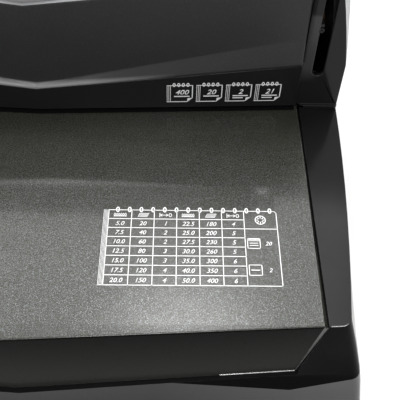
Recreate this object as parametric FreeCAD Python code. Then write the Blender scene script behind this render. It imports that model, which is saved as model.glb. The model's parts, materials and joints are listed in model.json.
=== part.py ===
import FreeCAD
import Part
import math
import os

# Manual 21-hole comb punching and binding machine for A4 sheets. Millimetres, +X right, +Y back, +Z up.
# The origin is on the desk under the middle of the machine. Heights named *_z are above the desk.
# Widths start from the sheet's edge that is punched, so a longer sheet gives a wider machine.

os.makedirs("parts", exist_ok=True)
V = FreeCAD.Vector
x_axis = V(1, 0, 0)
y_axis = V(0, 1, 0)
z_axis = V(0, 0, 1)
far = 400.0           # longer than any piece, for cutters

# ---- clearances ----
seat_gap = 0.3        # between a piece and what carries it, when they may move
run_fit = 0.05        # radial play of a shaft or pin in its bore
hole_fit = 0.02       # radial play of a fixed pin or screw
screw_play = 0.1      # radial play of a screw in a clearance hole

# ---- fasteners ----
screw_radius = 1.5
screw_head_radius = 2.8
screw_head_height = 1.8

# ---- paper and punching pattern: an odd number of holes, as many as fit on the sheet's edge ----
sheet_length = 297.0
hole_pitch = 14.29
hole_width = 8.0
hole_depth = 3.0
half_count = int((sheet_length - hole_width) / hole_pitch / 2.0)
hole_count = 2 * half_count + 1
row_half = half_count * hole_pitch

# ---- table: folded sheet steel ----
table_z = 78.0
table_sheet = 1.2
table_margin = 3.3
table_half = sheet_length / 2.0 + table_margin
table_half_front = table_half - 0.9
table_front_y = -133.0
table_front_slope = 0.0508
table_side_run = 46.5
apron_drop = 54.0
apron_drop_end = 48.0
apron_taper = 7.4
apron_half_bottom = table_half_front - apron_taper
apron_gap = 0.8
fold_radius = 1.1

# ---- upper housing: skirt and end caps in one moulding ----
skirt_y = 13.5
skirt_slope = 0.0439
skirt_wall = 3.0
lip_middle = 18.0
lip_end = 33.0
seam_inset = 1.3
seam_x = table_half - seam_inset
cap_width = 25.0
cap_outer = seam_x + cap_width
cap_wall = 2.5
cap_top = 100.0
cap_round = 12.0
cap_lean = 3.0
cap_back_y = 134.0
cap_flange = 1.5
cap_flange_height = 3.0
crease_start = 12.0
crease_stop = 78.0
crease_inset = 12.3
crease_power = 1.4
crease_run = 0.25
slot_inset = 18.6
slot_width = 6.4
slot_inner = cap_outer - slot_inset
slot_outer = slot_inner + slot_width
slot_floor = 24.5
slot_screw_rise = 55.0
slot_screw_head = 1.4
slot_screw_radius = 0.8
lining_sheet = 2.0
lining_set = 4.0
boss_half_height = 3.0
inner_wall_rise = 60.0
throat_gap = 2.5
throat_end = 4.5
throat_half = seam_x + throat_end

# ---- base: moulded shell open at the bottom ----
shell_wall = 3.0
rim_z = 2.0
panel_gap = 1.4
panel_inner = table_half + panel_gap
base_back_y = cap_back_y + 9.5
base_heel_y = cap_back_y + 7.0
# outline levels from the table down: depth, then how far the rear, middle and front half widths stand outside the
# end caps, then how far the front corner and the front centre stand behind the table's front edge
base_levels = [
    (0.0, 0.0, -3.5, -11.0, 8.6, 0.2),
    (25.0, 2.9, 1.1, -3.5, 7.8, -0.4),
    (50.0, 5.9, 5.3, 3.5, 6.6, -1.4),
    (62.0, 7.1, 6.8, 6.1, 3.4, -4.6),
    (76.0, 8.5, 8.5, 8.1, -2.0, -10.5),
]
base_side_y = -48.5
base_turn_y = skirt_y + 8.0
corner_round = 5.0

# ---- hood panel and deck ----
panel_sheet = 2.5
panel_foot = 8.0
panel_recess = 3.5
panel_ledge_middle = 18.8
panel_ledge_end = 50.0
panel_lean = 3.0
panel_top_middle = 70.0
panel_top_end = 85.0
panel_half = seam_x - seat_gap
deck_height = 73.0
deck_sheet = 2.0
deck_back_y = cap_back_y - 9.0
deck_screw_head = 2.2

# ---- punch mechanism ----
stroke_angle = 85.0
gear_module = 1.25
gear_teeth = 16
gear_addendum = 1.1
gear_dedendum = 1.4
gear_backlash = 0.25
gear_width = 7.0
gear_inner_x = seam_x - 2.5
rack_body = 4.0
shaft_y = 60.5
shaft_height = 34.0
shaft_radius = 6.0
pinion_hub_length = 6.0
pinion_hub_radius = 9.0
lock_pin_radius = 1.5
die_thickness = 5.0
die_front_y = 27.5
die_depth = 20.0
die_screw_radius = 2.0
spacer_reach = 3.0
guide_thickness = 4.0
hole_row_y = 33.5
bar_half = throat_half - 0.4
bar_front_y = 28.5
bar_height = 26.0
bar_thickness = 12.0
pin_rest_tip = 3.2
retainer_thickness = 2.0
retainer_slots = [1.5, half_count - 1.5]
post_radius = 3.0
post_y = 40.5
post_slots = [2.5, half_count - 2.5]
spring_slots = [half_count / 2.0]
spring_radius = 3.2
spring_wire = 0.6
spring_turns = 9
bridge_height = 62.0
bridge_thickness = 4.0
bridge_end = 15.0
bridge_half = post_slots[-1] * hole_pitch + bridge_end

# ---- frame plates ----
frame_inner_x = slot_outer + 2.0
frame_sheet = 2.5
frame_outer_x = frame_inner_x + frame_sheet
frame_top = 66.0
frame_front_y = 28.5
frame_back_y = cap_back_y - 15.5
frame_leg_y = 68.5
frame_tab_length = 13.0
frame_foot_length = 15.0
bush_flange = 1.5
tie_radius = 4.0
tie_nut_height = 3.2
shaft_half = frame_outer_x + 1.2

# ---- handle ----
arm_thickness = 3.2
arm_gap = 0.5
arm_inner_x = slot_outer - arm_gap - arm_thickness
arm_width = 18.0
arm_length = 155.0
arm_hub = 13.0
arm_lean = 12.0
bar_tube_radius = 6.0
bar_screw_radius = 3.0
grip_radius = 13.0
grip_half = arm_inner_x - 9.6

# ---- comb opener ----
comb_shaft_y = 93.5
comb_shaft_height = 54.0
comb_shaft_radius = 4.0
comb_turn = 90.0
comb_gear_x = 100.0
comb_hub_radius = 7.0
comb_hub_length = 6.0
comb_pin_radius = 1.0
finger_width = 4.0
finger_thickness = 1.5
finger_y = 56.5
finger_top = 86.0
hook_nose = 4.5
slide_half = row_half + finger_width / 2.0 + 0.3
slide_sheet = 2.0
slide_front_y = 66.0
slide_back_y = 105.5
slide_pin_slots = [3.5, half_count - 0.5]
slide_pin_y = 95.5
slide_pin_radius = 3.0
slide_pin_head = 5.0
slide_rivet_radius = 2.0
ledge_width = seam_x - slide_half - seat_gap
lever_gap = 2.5
lever_thickness = 4.0
lever_outer_x = cap_outer + lever_gap + lever_thickness
lever_hub = 10.0
lever_length = 110.0
lever_width = 14.0
lever_tilt = 40.0
lever_flat = 3.0
lever_grip_length = 40.0
lever_screw_head = 5.0
comb_shaft_left = -lever_outer_x
comb_shaft_right = shaft_half

# ---- margin dial and back stop ----
dial_y = 47.5
dial_height = 14.0
dial_radius = 11.0
dial_thickness = 5.5
dial_gap = 0.4
dial_grooves = 16
dial_groove_radius = 0.8
crank_radius = 3.0
crank_pin_radius = 1.5
spindle_radius = 3.0
stop_margin = 3.0
stop_width = 5.5
stop_thickness = 2.0
stop_right = seam_x - 0.5
stop_tab_x = -frame_outer_x - 2.8
stop_tab_sheet = 1.5
crank_slot_play = 0.25

# ---- edge guide ----
guide_slot_y = -6.5
guide_slot_width = 4.0
guide_travel = 44.0
guide_body_width = 6.0
guide_body_height = 9.0
guide_front_y = -56.5
guide_flange = 1.0
guide_flange_reach = 8.0
guide_stem_inset = 4.5
guide_clip_radius = 4.5
guide_clip_sheet = 1.2

# ---- chip drawer, bottom plate, feet ----
plate_sheet = 2.0
foot_height = 6.0
foot_radius = 9.0
foot_x = panel_inner - 3.2
foot_front_y = -108.0
foot_back_y = 124.0
foot_recess = 3.0
drawer_front_y = 16.5
drawer_depth = 42.0
drawer_height = 44.0
drawer_wall = 2.0
drawer_gap = 0.5
drawer_face_x = cap_outer - 7.5
drawer_right = seam_x - 2.5
pull_radius = 11.0
pull_x = cap_outer + 14.5
rail_sheet = 1.7
rail_height = 9.0
rail_left = cap_outer - 15.5
post_x = 100.0
post_rows = [-100.0, -30.0]
table_post_radius = 5.0
boss_radius = 4.5
boss_front_x = panel_inner + 11.8
boss_side_x = cap_outer - 4.5
boss_places = [(boss_front_x, -101.5), (boss_side_x, -21.5), (boss_side_x, 126.0), (70.0, -127.0)]

# ---- values worked out from the above ----
gear_radius = gear_module * gear_teeth / 2.0
punch_stroke = gear_radius * math.radians(stroke_angle)
comb_travel = gear_radius * math.radians(comb_turn)
throat_z = table_z + throat_gap
shaft_z = table_z + shaft_height
comb_shaft_z = table_z + comb_shaft_height
deck_z = table_z + deck_height
plate_z = foot_height
plate_top_z = plate_z + plate_sheet
slide_top_z = deck_z - deck_sheet - seat_gap
slide_z = slide_top_z - slide_sheet
arm_outer_x = arm_inner_x + arm_thickness
punch_rack_y = shaft_y - gear_radius
bar_back_y = punch_rack_y - gear_dedendum - rack_body
bar_z = table_z + bar_height
bar_top_z = bar_z + bar_thickness
guide_top_z = throat_z + guide_thickness


def box(x0, x1, y0, y1, z0, z1):
    return Part.makeBox(x1 - x0, y1 - y0, z1 - z0, V(x0, y0, z0))


def slab(z0, z1):
    return box(-far, far, -far, far, z0, z1)


def rod(radius, start, direction, length):
    return Part.makeCylinder(radius, length, start, direction)


def tube(outer, inner, start, direction, length):
    return rod(outer, start, direction, length).cut(rod(inner, start, direction, length))


def polygon_face(points):
    return Part.Face(Part.makePolygon(points + [points[0]]))


def side_prism(outline, x0, x1):
    # outline is a list of (y, z)
    return polygon_face([V(x0, y, z) for y, z in outline]).extrude(V(x1 - x0, 0, 0))


def plan_prism(outline, z0, z1):
    # outline is a list of (x, y)
    return polygon_face([V(x, y, z0) for x, y in outline]).extrude(V(0, 0, z1 - z0))


def front_prism(outline, y0, y1):
    # outline is a list of (x, z)
    return polygon_face([V(x, y0, z) for x, z in outline]).extrude(V(0, y1 - y0, 0))


def mirrored(shape):
    return shape.mirror(V(0, 0, 0), x_axis)


def both_sides(half):
    return half.fuse(mirrored(half)).removeSplitter()


def pair(half):
    return [half, mirrored(half)]


def section_loft(sections):
    wires = []
    for x, outline in sections:
        points = [V(x, y, z) for y, z in outline]
        wires.append(Part.makePolygon(points + [points[0]]))
    return Part.makeLoft(wires, True, True)


def save(name, solids):
    shape = solids if isinstance(solids, Part.Shape) else Part.makeCompound(solids)
    shape.exportStep("parts/" + name + ".step")


def screw(place, direction, length, radius=screw_radius, head=screw_head_radius, height=screw_head_height):
    # place is the middle of the head's underside, direction is the way the shank points
    shank = rod(radius, place, direction, length)
    top = rod(head, place - direction * height, direction, height)
    recess = rod(head * 0.45, place - direction * height, direction, height * 0.5)
    return shank.fuse(top).removeSplitter().cut(recess)


def slot_places(slots):
    return [side * slot * hole_pitch for slot in slots for side in (-1, 1)]


def finger_places():
    return [(i - half_count) * hole_pitch for i in range(hole_count)]


def gear_pinion(width):
    # involute pinion about the X axis, one tooth pointing along -Y, teeth thinned by the backlash
    pitch = gear_radius
    base = pitch * math.cos(math.radians(20.0))
    tip = pitch + gear_addendum
    root = pitch - gear_dedendum
    pitch_pressure = math.tan(math.acos(base / pitch)) - math.acos(base / pitch)
    half_tooth = (math.pi * gear_module / 2.0 - gear_backlash) / (2.0 * pitch)
    points = []
    for tooth in range(gear_teeth):
        middle = math.pi + tooth * 2.0 * math.pi / gear_teeth
        flank = [(root, half_tooth + pitch_pressure)]
        for step in range(5):
            radius = base + (tip - base) * step / 4.0
            pressure = math.acos(base / radius)
            flank.append((radius, half_tooth + pitch_pressure - (math.tan(pressure) - pressure)))
        for radius, angle in flank:
            points.append(V(0, radius * math.cos(middle - angle), radius * math.sin(middle - angle)))
        for radius, angle in reversed(flank):
            points.append(V(0, radius * math.cos(middle + angle), radius * math.sin(middle + angle)))
    return polygon_face(points).extrude(V(width, 0, 0))


def gear_rack(width, low, high, body):
    # rack along +Z whose teeth point along +Y; its pitch line is at y = 0 and a tooth space is at z = 0
    step = math.pi * gear_module
    half = (step / 2.0 - gear_backlash) / 2.0
    slope = math.tan(math.radians(20.0))
    points = [V(0, -gear_dedendum - body, low), V(0, -gear_dedendum, low)]
    index = math.ceil((low + step / 2.0) / step - 0.5)
    while (index + 0.5) * step + step / 2.0 < high:
        middle = (index + 0.5) * step
        points.append(V(0, -gear_dedendum, middle - half - gear_dedendum * slope))
        points.append(V(0, gear_addendum, middle - half + gear_addendum * slope))
        points.append(V(0, gear_addendum, middle + half - gear_addendum * slope))
        points.append(V(0, -gear_dedendum, middle + half + gear_dedendum * slope))
        index += 1
    points += [V(0, -gear_dedendum, high), V(0, -gear_dedendum - body, high)]
    return polygon_face(points).extrude(V(width, 0, 0))


# ---------------------------------------------------------------- base

def base_wire(level, inset):
    depth, rear_step, middle_step, front_step, corner_step, centre_step = level
    z = table_z - depth
    rear = cap_outer + rear_step
    middle = cap_outer + middle_step
    front = cap_outer + front_step
    corner_y = table_front_y + corner_step
    centre_y = table_front_y + centre_step
    slope = (corner_y - centre_y) / front
    heel = base_heel_y + (base_back_y - base_heel_y) * depth / base_levels[-1][0] - inset
    lead = V(front - inset, corner_y + inset + corner_round, z)
    toe = V(front - inset - corner_round, corner_y + inset - slope * (inset + corner_round), z)
    bend = V(front - inset - corner_round * 0.3, corner_y + inset + corner_round * 0.3, z)
    nose = V(0, centre_y + inset, z)
    turn = V(rear - inset, base_turn_y, z)
    side = V(middle - inset, base_side_y, z)
    back = V(rear - inset, heel, z)

    def flip(point):
        return V(-point.x, point.y, point.z)

    edges = [
        Part.LineSegment(flip(back), back).toShape(),
        Part.LineSegment(back, turn).toShape(),
        Part.Arc(turn, side, lead).toShape(),
        Part.Arc(lead, bend, toe).toShape(),
        Part.LineSegment(toe, nose).toShape(),
        Part.LineSegment(nose, flip(toe)).toShape(),
        Part.Arc(flip(toe), flip(bend), flip(lead)).toShape(),
        Part.Arc(flip(lead), flip(side), flip(turn)).toShape(),
        Part.LineSegment(flip(turn), flip(back)).toShape(),
    ]
    return Part.Wire(edges)


def base_body(inset):
    return Part.makeLoft([base_wire(level, inset) for level in base_levels], True, True)


def apron_outline(play):
    low_middle = table_z - apron_drop - play
    low_end = table_z - apron_drop_end - play
    return [
        (-panel_inner, table_z + 1.0),
        (-panel_inner, table_z),
        (-apron_half_bottom - play, low_end),
        (0, low_middle),
        (apron_half_bottom + play, low_end),
        (panel_inner, table_z),
        (panel_inner, table_z + 1.0),
    ]


def base_shell(outer, inner):
    inner_top = table_z - shell_wall
    cavity = inner.common(slab(0, inner_top))
    shell = outer.cut(cavity)
    for x, y in boss_places:
        for side in (-1, 1):
            top = inner_top + 1.0 if abs(x) > panel_inner else table_z - apron_drop - 3.0
            boss = rod(boss_radius, V(side * x, y, plate_top_z), z_axis, top - plate_top_z)
            shell = shell.fuse(boss.common(outer))
    for x, y in boss_places:
        for side in (-1, 1):
            pilot = rod(screw_radius + hole_fit, V(side * x, y, plate_top_z - 1.0), z_axis, 13.0)
            shell = shell.cut(pilot)
    shell = shell.cut(front_prism(apron_outline(apron_gap), -far, die_front_y + 1.0))
    well = box(-cap_outer + cap_wall + 2.0, cap_outer - cap_wall - 2.0, skirt_y + 8.0, cap_back_y - cap_wall - 3.0,
               inner_top - 2.0, table_z + 1.0)
    shell = shell.cut(well)
    shell = shell.cut(slab(-5, rim_z))
    return shell.cut(drawer_gate())


def drawer_gate():
    return box(-far, -rail_left, drawer_front_y - drawer_gap, drawer_front_y + drawer_depth + drawer_gap,
               plate_top_z, plate_top_z + seat_gap + drawer_height + drawer_gap)


def bottom_plate(inner):
    sheet = inner.common(slab(plate_z, plate_top_z))
    sheet.scale(1.0 - seat_gap / 140.0, V(0, 0, plate_z))
    holes = [rod(screw_radius + screw_play, V(s * x, y, 0), z_axis, 20) for x, y in boss_places for s in (-1, 1)]
    holes += [rod(screw_radius + screw_play, V(x, y, 0), z_axis, 20) for x, y in foot_places()]
    holes += [rod(screw_radius + screw_play, V(x, y, 0), z_axis, 20) for x, y in table_post_places()]
    holes += [rod(screw_radius + screw_play, V(s * (frame_inner_x - 8.0), y, 0), z_axis, 20)
              for y in frame_foot_rows() for s in (-1, 1)]
    for hole in holes:
        sheet = sheet.cut(hole)
    return sheet.common(slab(plate_z, plate_top_z))


def foot_places():
    return [(sx * foot_x, y) for y in (foot_front_y, foot_back_y) for sx in (-1, 1)]


def rubber_feet():
    feet = []
    for x, y in foot_places():
        foot = Part.makeCone(foot_radius - 1.0, foot_radius, foot_height, V(x, y, 0), z_axis)
        foot = foot.cut(rod(screw_head_radius + 0.6, V(x, y, 0), z_axis, foot_recess))
        feet.append(foot.cut(rod(screw_radius + hole_fit, V(x, y, 0), z_axis, foot_height)))
    return feet


def foot_screws():
    return [screw(V(x, y, foot_recess), z_axis, plate_top_z - 1.0) for x, y in foot_places()]


def base_screws():
    return [screw(V(s * x, y, plate_z), z_axis, 12.0) for x, y in boss_places for s in (-1, 1)]


# ---------------------------------------------------------------- table

def table_front(x):
    return table_front_y + table_front_slope * abs(x)


def document_table():
    side_y = skirt_y - table_side_run
    corner = table_front(table_half_front)
    back = die_front_y - seat_gap
    outline = [(0, table_front_y), (table_half_front, corner), (table_half, side_y), (table_half, back),
               (-table_half, back), (-table_half, side_y), (-table_half_front, corner)]
    plate = plan_prism(outline, table_z - table_sheet, table_z)
    low = table_z - apron_drop
    strip = plan_prism([(0, table_front_y), (table_half_front, corner), (table_half_front, corner + table_sheet),
                        (0, table_front_y + table_sheet), (-table_half_front, corner + table_sheet),
                        (-table_half_front, corner)], low, table_z)
    low_end = table_z - apron_drop_end
    shape_cut = [(-table_half, table_z + 1), (-table_half_front, table_z), (-apron_half_bottom, low_end), (0, low),
                 (apron_half_bottom, low_end), (table_half_front, table_z), (table_half, table_z + 1)]
    apron = strip.common(front_prism(shape_cut, -far, 0))
    table = plate.fuse(apron).removeSplitter()
    fold = [e for e in table.Edges if all(abs(v.Z - table_z) < 0.01 for v in e.Vertexes)
            and all(abs(v.Y - table_front(v.X)) < 0.01 for v in e.Vertexes)]
    table = table.makeFillet(fold_radius, fold)
    half_width = guide_slot_width / 2.0
    left = guide_stem_x()
    slot = box(left - half_width, left + guide_travel + half_width, guide_slot_y - half_width,
               guide_slot_y + half_width, table_z - 5.0, table_z + 5.0)
    return table.cut(slot)


def table_post_places():
    return [(side * post_x, y) for y in post_rows for side in (-1, 1)]


def table_posts():
    height = table_z - table_sheet - plate_top_z
    posts = []
    for x, y in table_post_places():
        post = rod(table_post_radius, V(x, y, plate_top_z), z_axis, height)
        posts.append(post.cut(rod(screw_radius + hole_fit, V(x, y, plate_top_z), z_axis, 14.0)))
    return posts


def post_screws():
    return [screw(V(x, y, plate_z), z_axis, 12.0) for x, y in table_post_places()]


# ---------------------------------------------------------------- upper housing

def skirt_front(x):
    return skirt_y + skirt_slope * abs(x)


def skirt_half():
    front = skirt_front(seam_x)
    middle = [(skirt_y, throat_z), (skirt_y, table_z + lip_middle), (skirt_y + skirt_wall, table_z + lip_middle),
              (skirt_y + skirt_wall, throat_z)]
    end = [(front, throat_z), (front, table_z + lip_end), (front + skirt_wall, table_z + lip_end),
           (front + skirt_wall, throat_z)]
    return section_loft([(0, middle), (seam_x, end)])


def cap_profile(inset):
    front = skirt_front(cap_outer)
    low = table_z
    top = table_z + cap_top - inset
    turn = top - cap_round + inset
    y0 = front + inset
    y1 = front + cap_lean + inset
    back = cap_back_y - inset
    radius = cap_round - inset
    points = [(back, low), (y0, low), (y1, turn)]
    for step in range(1, 7):
        angle = math.radians(90.0 * step / 6.0)
        points.append((y1 + radius * (1.0 - math.cos(angle)), turn + radius * math.sin(angle)))
    points += [(back - radius, top), (back, top - radius)]
    return points


def crease_cutter(shift):
    # everything outside the slanted corner face; shift moves the face inwards
    points = [(cap_outer + 25.0, table_z + crease_start)]
    for step in range(0, 7):
        rise = (crease_stop - crease_start) * step / 6.0
        inset = crease_inset * (rise / (crease_stop - crease_start)) ** crease_power
        points.append((cap_outer - inset - shift, table_z + crease_start + rise))
    over = table_z + cap_top + 30.0
    points += [(cap_outer - crease_inset - shift, over), (cap_outer + 25.0, over)]
    face = polygon_face([V(x, skirt_y, z) for x, z in points])
    back_run = 60.0
    reach = face.extrude(V(back_run * crease_run, back_run, 0))
    ahead = face.extrude(V(-back_run * crease_run * 0.4, -back_run * 0.4, 0))
    return [reach, ahead]


def cap_half():
    body = side_prism(cap_profile(0.0), seam_x, cap_outer)
    for cutter in crease_cutter(0.0):
        body = body.cut(cutter)
    front = skirt_front(cap_outer)
    flange = box(panel_inner, cap_outer - 0.5, front - cap_flange, front + 1.0, table_z, table_z + cap_flange_height)
    body = body.fuse(flange)
    hollow = side_prism(cap_profile(cap_wall), seam_x + cap_wall, cap_outer - cap_wall)
    for cutter in crease_cutter(cap_wall):
        hollow = hollow.cut(cutter)
    lining = box(slot_inner - lining_sheet, slot_inner, front + lining_set, front + 14.0,
                 table_z + slot_floor - 2.0, table_z + cap_top)
    hollow = hollow.cut(lining)
    body = body.cut(hollow)
    inside = box(seam_x - 1.0, seam_x + cap_wall + 0.01, die_front_y - 0.5, cap_back_y - cap_wall,
                 table_z - 1.0, table_z + inner_wall_rise)
    body = body.cut(inside)
    middle = (slot_inner + slot_outer) / 2.0
    half = (slot_outer - slot_inner) / 2.0
    slot = box(slot_inner, slot_outer, 0, shaft_y + 31.0, table_z + slot_floor + half, table_z + cap_top + 5.0)
    slot = slot.fuse(rod(half, V(middle, 0, table_z + slot_floor + half), y_axis, shaft_y + 31.0))
    body = body.cut(slot)
    boss_z = table_z + slot_screw_rise
    boss = box(slot_inner - lining_sheet, slot_boss_x(), front + lining_set, front + 14.0,
               boss_z - boss_half_height, boss_z + boss_half_height)
    body = body.fuse(boss)
    ledge = box(seam_x - ledge_width, seam_x + 0.5, skirt_front(seam_x) + 12.0, deck_back_y,
                deck_z - deck_sheet - 2.0, deck_z - deck_sheet)
    body = body.fuse(ledge)
    throat = box(seam_x - 1.0, throat_half, 0, 60.0, table_z - 1.0, throat_z)
    return body.cut(throat)


def upper_housing():
    half = skirt_half().fuse(cap_half())
    housing = both_sides(half)
    for side in (-1, 1):
        housing = housing.cut(slot_screw_hole(side))
        for y in deck_screw_rows():
            housing = housing.cut(rod(screw_radius + hole_fit, V(side * deck_screw_x(), y, deck_z - 10), z_axis, 12))
    way = V(-far, comb_shaft_y, comb_shaft_z)
    housing = housing.cut(rod(comb_shaft_radius + 1.0, way, x_axis, far + shaft_half))
    return housing.cut(rod(spindle_radius + run_fit, V(-far, dial_y, dial_z()), x_axis, far - frame_outer_x))


def slot_boss_x():
    # the boss for the slot's screw stops short of the arm that swings past it
    return arm_inner_x - seat_gap


def slot_screw_place(side):
    return V(side * (slot_boss_x() - slot_screw_head), skirt_front(cap_outer) + lining_set,
             table_z + slot_screw_rise)


def slot_screw_hole(side):
    place = slot_screw_place(side)
    recess = rod(slot_screw_head + screw_play, place, V(0, -1, 0), lining_set)
    return rod(slot_screw_radius + hole_fit, place, y_axis, 6.0).fuse(recess)


def slot_screws():
    return [screw(slot_screw_place(side), y_axis, 5.0, slot_screw_radius, slot_screw_head, 1.2) for side in (-1, 1)]


# ---------------------------------------------------------------- hood panel, deck, rear cover

def panel_section(x, lip, ledge, top):
    # the ledge starts over the skirt's lip, turns up into the face and hooks down behind the skirt
    front = skirt_front(x)
    face = front + panel_recess
    lip_z = table_z + lip + seat_gap
    hook = front + skirt_wall + seat_gap
    back = hook + panel_sheet
    return (x, [(front, lip_z), (face, table_z + ledge), (face + panel_lean, table_z + top),
                (face + panel_lean + panel_sheet, table_z + top), (back, table_z + ledge),
                (back, table_z + panel_foot), (hook, table_z + panel_foot), (hook, lip_z)])


def hood_panel():
    end_lip = lip_middle + (lip_end - lip_middle) * panel_half / seam_x
    return both_sides(section_loft([
        panel_section(0, lip_middle, panel_ledge_middle, panel_top_middle),
        panel_section(panel_half, end_lip, panel_ledge_end, panel_top_end)]))


def deck_screw_x():
    return seam_x - ledge_width / 2.0


def deck_screw_rows():
    return [skirt_front(seam_x) + 22.0, deck_back_y - 8.0]


def top_deck():
    front = skirt_y + panel_recess + panel_lean + panel_sheet + seat_gap
    end = front + skirt_slope * panel_half
    outline = [(0, front), (panel_half, end), (panel_half, deck_back_y), (-panel_half, deck_back_y),
               (-panel_half, end)]
    deck = plan_prism(outline, deck_z - deck_sheet, deck_z)
    cuts = []
    for x in finger_places():
        cuts.append(box(x - finger_width / 2 - hole_fit, x + finger_width / 2 + hole_fit, finger_y - hole_fit,
                        finger_y + finger_thickness + hole_fit, deck_z - 5, deck_z + 5))
        cuts.append(box(x - finger_width / 2 - 0.5, x + finger_width / 2 + 0.5,
                        slide_front_y - finger_thickness - 0.6, slide_front_y + comb_travel + 0.6,
                        deck_z - 5, deck_z + 5))
    for side in (-1, 1):
        for y in deck_screw_rows():
            cuts.append(rod(screw_radius + screw_play, V(side * deck_screw_x(), y, deck_z - 5), z_axis, 10))
    for x in slot_places(slide_pin_slots):
        cuts.append(rod(slide_rivet_radius + hole_fit, V(x, slide_pin_y, deck_z - 5), z_axis, 10))
    return deck.cut(Part.makeCompound(cuts))


def deck_screws():
    down = V(0, 0, -1)
    return [screw(V(side * deck_screw_x(), y, deck_z), down, 4.0, screw_radius, deck_screw_head)
            for side in (-1, 1) for y in deck_screw_rows()]


def comb_fingers():
    fingers = []
    for x in finger_places():
        left = x - finger_width / 2
        finger = box(left, left + finger_width, finger_y, finger_y + finger_thickness, deck_z - deck_sheet,
                     table_z + finger_top)
        top = [e for e in finger.Edges if abs(e.BoundBox.ZMin - table_z - finger_top) < 0.01
               and e.BoundBox.YLength > 1.0]
        fingers.append(finger.makeFillet(1.2, top))
    return fingers


def rear_cover():
    outer = cap_back_y - seat_gap
    low = table_z
    turn = deck_z - 9.0
    wall = cap_wall
    outline = [(outer, low), (outer, turn), (deck_back_y + seat_gap, deck_z), (deck_back_y + seat_gap, deck_z - 3.0),
               (outer - wall, turn - 1.5), (outer - wall, low)]
    cover = side_prism(outline, -panel_half, panel_half)
    slats = []
    for row in range(5):
        z = table_z + 16.0 + row * 7.0
        slats += [box(middle - 24, middle + 24, deck_back_y, far, z, z + 3.0) for middle in (-80, 80)]
    return cover.cut(Part.makeCompound(slats))


# ---------------------------------------------------------------- frames and die set

def frame_foot_rows():
    return [frame_leg_y + 12.0, frame_back_y - 12.0]


def side_frame_half():
    tab_z = table_z - die_thickness
    outline = [(frame_leg_y, plate_top_z), (frame_back_y, plate_top_z), (frame_back_y, table_z + frame_top),
               (frame_front_y + 16.0, table_z + frame_top), (frame_front_y, table_z + frame_top - 16.0),
               (frame_front_y, tab_z - frame_sheet), (frame_leg_y - 8.0, tab_z - frame_sheet),
               (frame_leg_y, tab_z - 22.0)]
    frame = side_prism(outline, frame_inner_x, frame_outer_x)
    foot = box(frame_inner_x - frame_foot_length, frame_inner_x, frame_leg_y, frame_back_y, plate_top_z,
               plate_top_z + frame_sheet)
    tab = box(frame_inner_x - frame_tab_length, frame_inner_x, frame_front_y, frame_front_y + 16.0,
              tab_z - frame_sheet, tab_z)
    frame = frame.fuse([foot, tab]).removeSplitter()
    frame = frame.cut(rod(shaft_radius + 2.5, V(0, shaft_y, shaft_z), x_axis, far))
    frame = frame.cut(rod(comb_shaft_radius + 2.0, V(0, comb_shaft_y, comb_shaft_z), x_axis, far))
    frame = frame.cut(rod(tie_radius, V(0, tie_y(), tie_z()), x_axis, far))
    for y in frame_foot_rows():
        frame = frame.cut(rod(screw_radius + hole_fit, V(frame_inner_x - 8.0, y, 0), z_axis, 20))
    frame = frame.cut(die_screw_hole(1))
    window = box(frame_inner_x - 1, frame_outer_x + 1, hole_row_y + 2.0, hole_row_y + 22.0, table_z - 0.6,
                 throat_z + 0.6)
    return frame.cut(window)


def frame_screws():
    return [screw(V(side * (frame_inner_x - 8.0), y, plate_z), z_axis, plate_sheet + frame_sheet - 0.2)
            for side in (-1, 1) for y in frame_foot_rows()]


def tie_y():
    return frame_back_y - 12.0


def tie_z():
    return table_z + 12.0


def tie_rod():
    return rod(tie_radius - hole_fit, V(-frame_outer_x - 4.0, tie_y(), tie_z()), x_axis, 2 * frame_outer_x + 8.0)


def tie_nuts():
    nuts = []
    for side in (-1, 1):
        for x in (frame_inner_x - tie_nut_height, frame_outer_x):
            start = V(x if side > 0 else -x - tie_nut_height, tie_y(), tie_z())
            corners = []
            for corner in range(6):
                angle = math.radians(60.0 * corner)
                corners.append(start + V(0, 6.5 * math.cos(angle), 6.5 * math.sin(angle)))
            nut = polygon_face(corners).extrude(V(tie_nut_height, 0, 0))
            nuts.append(nut.cut(rod(tie_radius, start, x_axis, tie_nut_height)))
    return nuts


def punch_holes(play, z0, z1):
    half = hole_width / 2 + play
    depth = hole_depth / 2 + play
    return Part.makeCompound([box(x - half, x + half, hole_row_y - depth, hole_row_y + depth, z0, z1)
                              for x in finger_places()])


def die_screw_place(side):
    return V(side * (frame_inner_x - 6.0), hole_row_y, guide_top_z)


def die_screw_hole(side):
    place = die_screw_place(side)
    return rod(die_screw_radius + screw_play, V(place.x, place.y, table_z - 20), z_axis, 40)


def die_plate():
    die = box(-frame_inner_x, frame_inner_x, die_front_y, die_front_y + die_depth, table_z - die_thickness, table_z)
    die = die.cut(punch_holes(run_fit, 0, far))
    return die.cut(Part.makeCompound([die_screw_hole(side) for side in (-1, 1)]))


def guide_plate():
    guide = box(-frame_inner_x, frame_inner_x, die_front_y, die_front_y + die_depth, throat_z, guide_top_z)
    guide = guide.cut(punch_holes(run_fit, 0, far))
    holes = [die_screw_hole(side) for side in (-1, 1)]
    holes += [rod(post_radius + hole_fit, V(x, post_y, 0), z_axis, far) for x in slot_places(post_slots)]
    return guide.cut(Part.makeCompound(holes))


def throat_spacers():
    spacers = []
    for side in (-1, 1):
        x0, x1 = sorted((side * throat_half, side * frame_inner_x))
        spacer = box(x0, x1, die_front_y, hole_row_y + spacer_reach, table_z, throat_z)
        spacers.append(spacer.cut(die_screw_hole(side)))
    return spacers


def die_screws():
    down = V(0, 0, -1)
    length = guide_thickness + throat_gap + die_thickness + frame_sheet
    return [screw(die_screw_place(side), down, length, die_screw_radius, 3.6, 2.4) for side in (-1, 1)]


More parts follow.
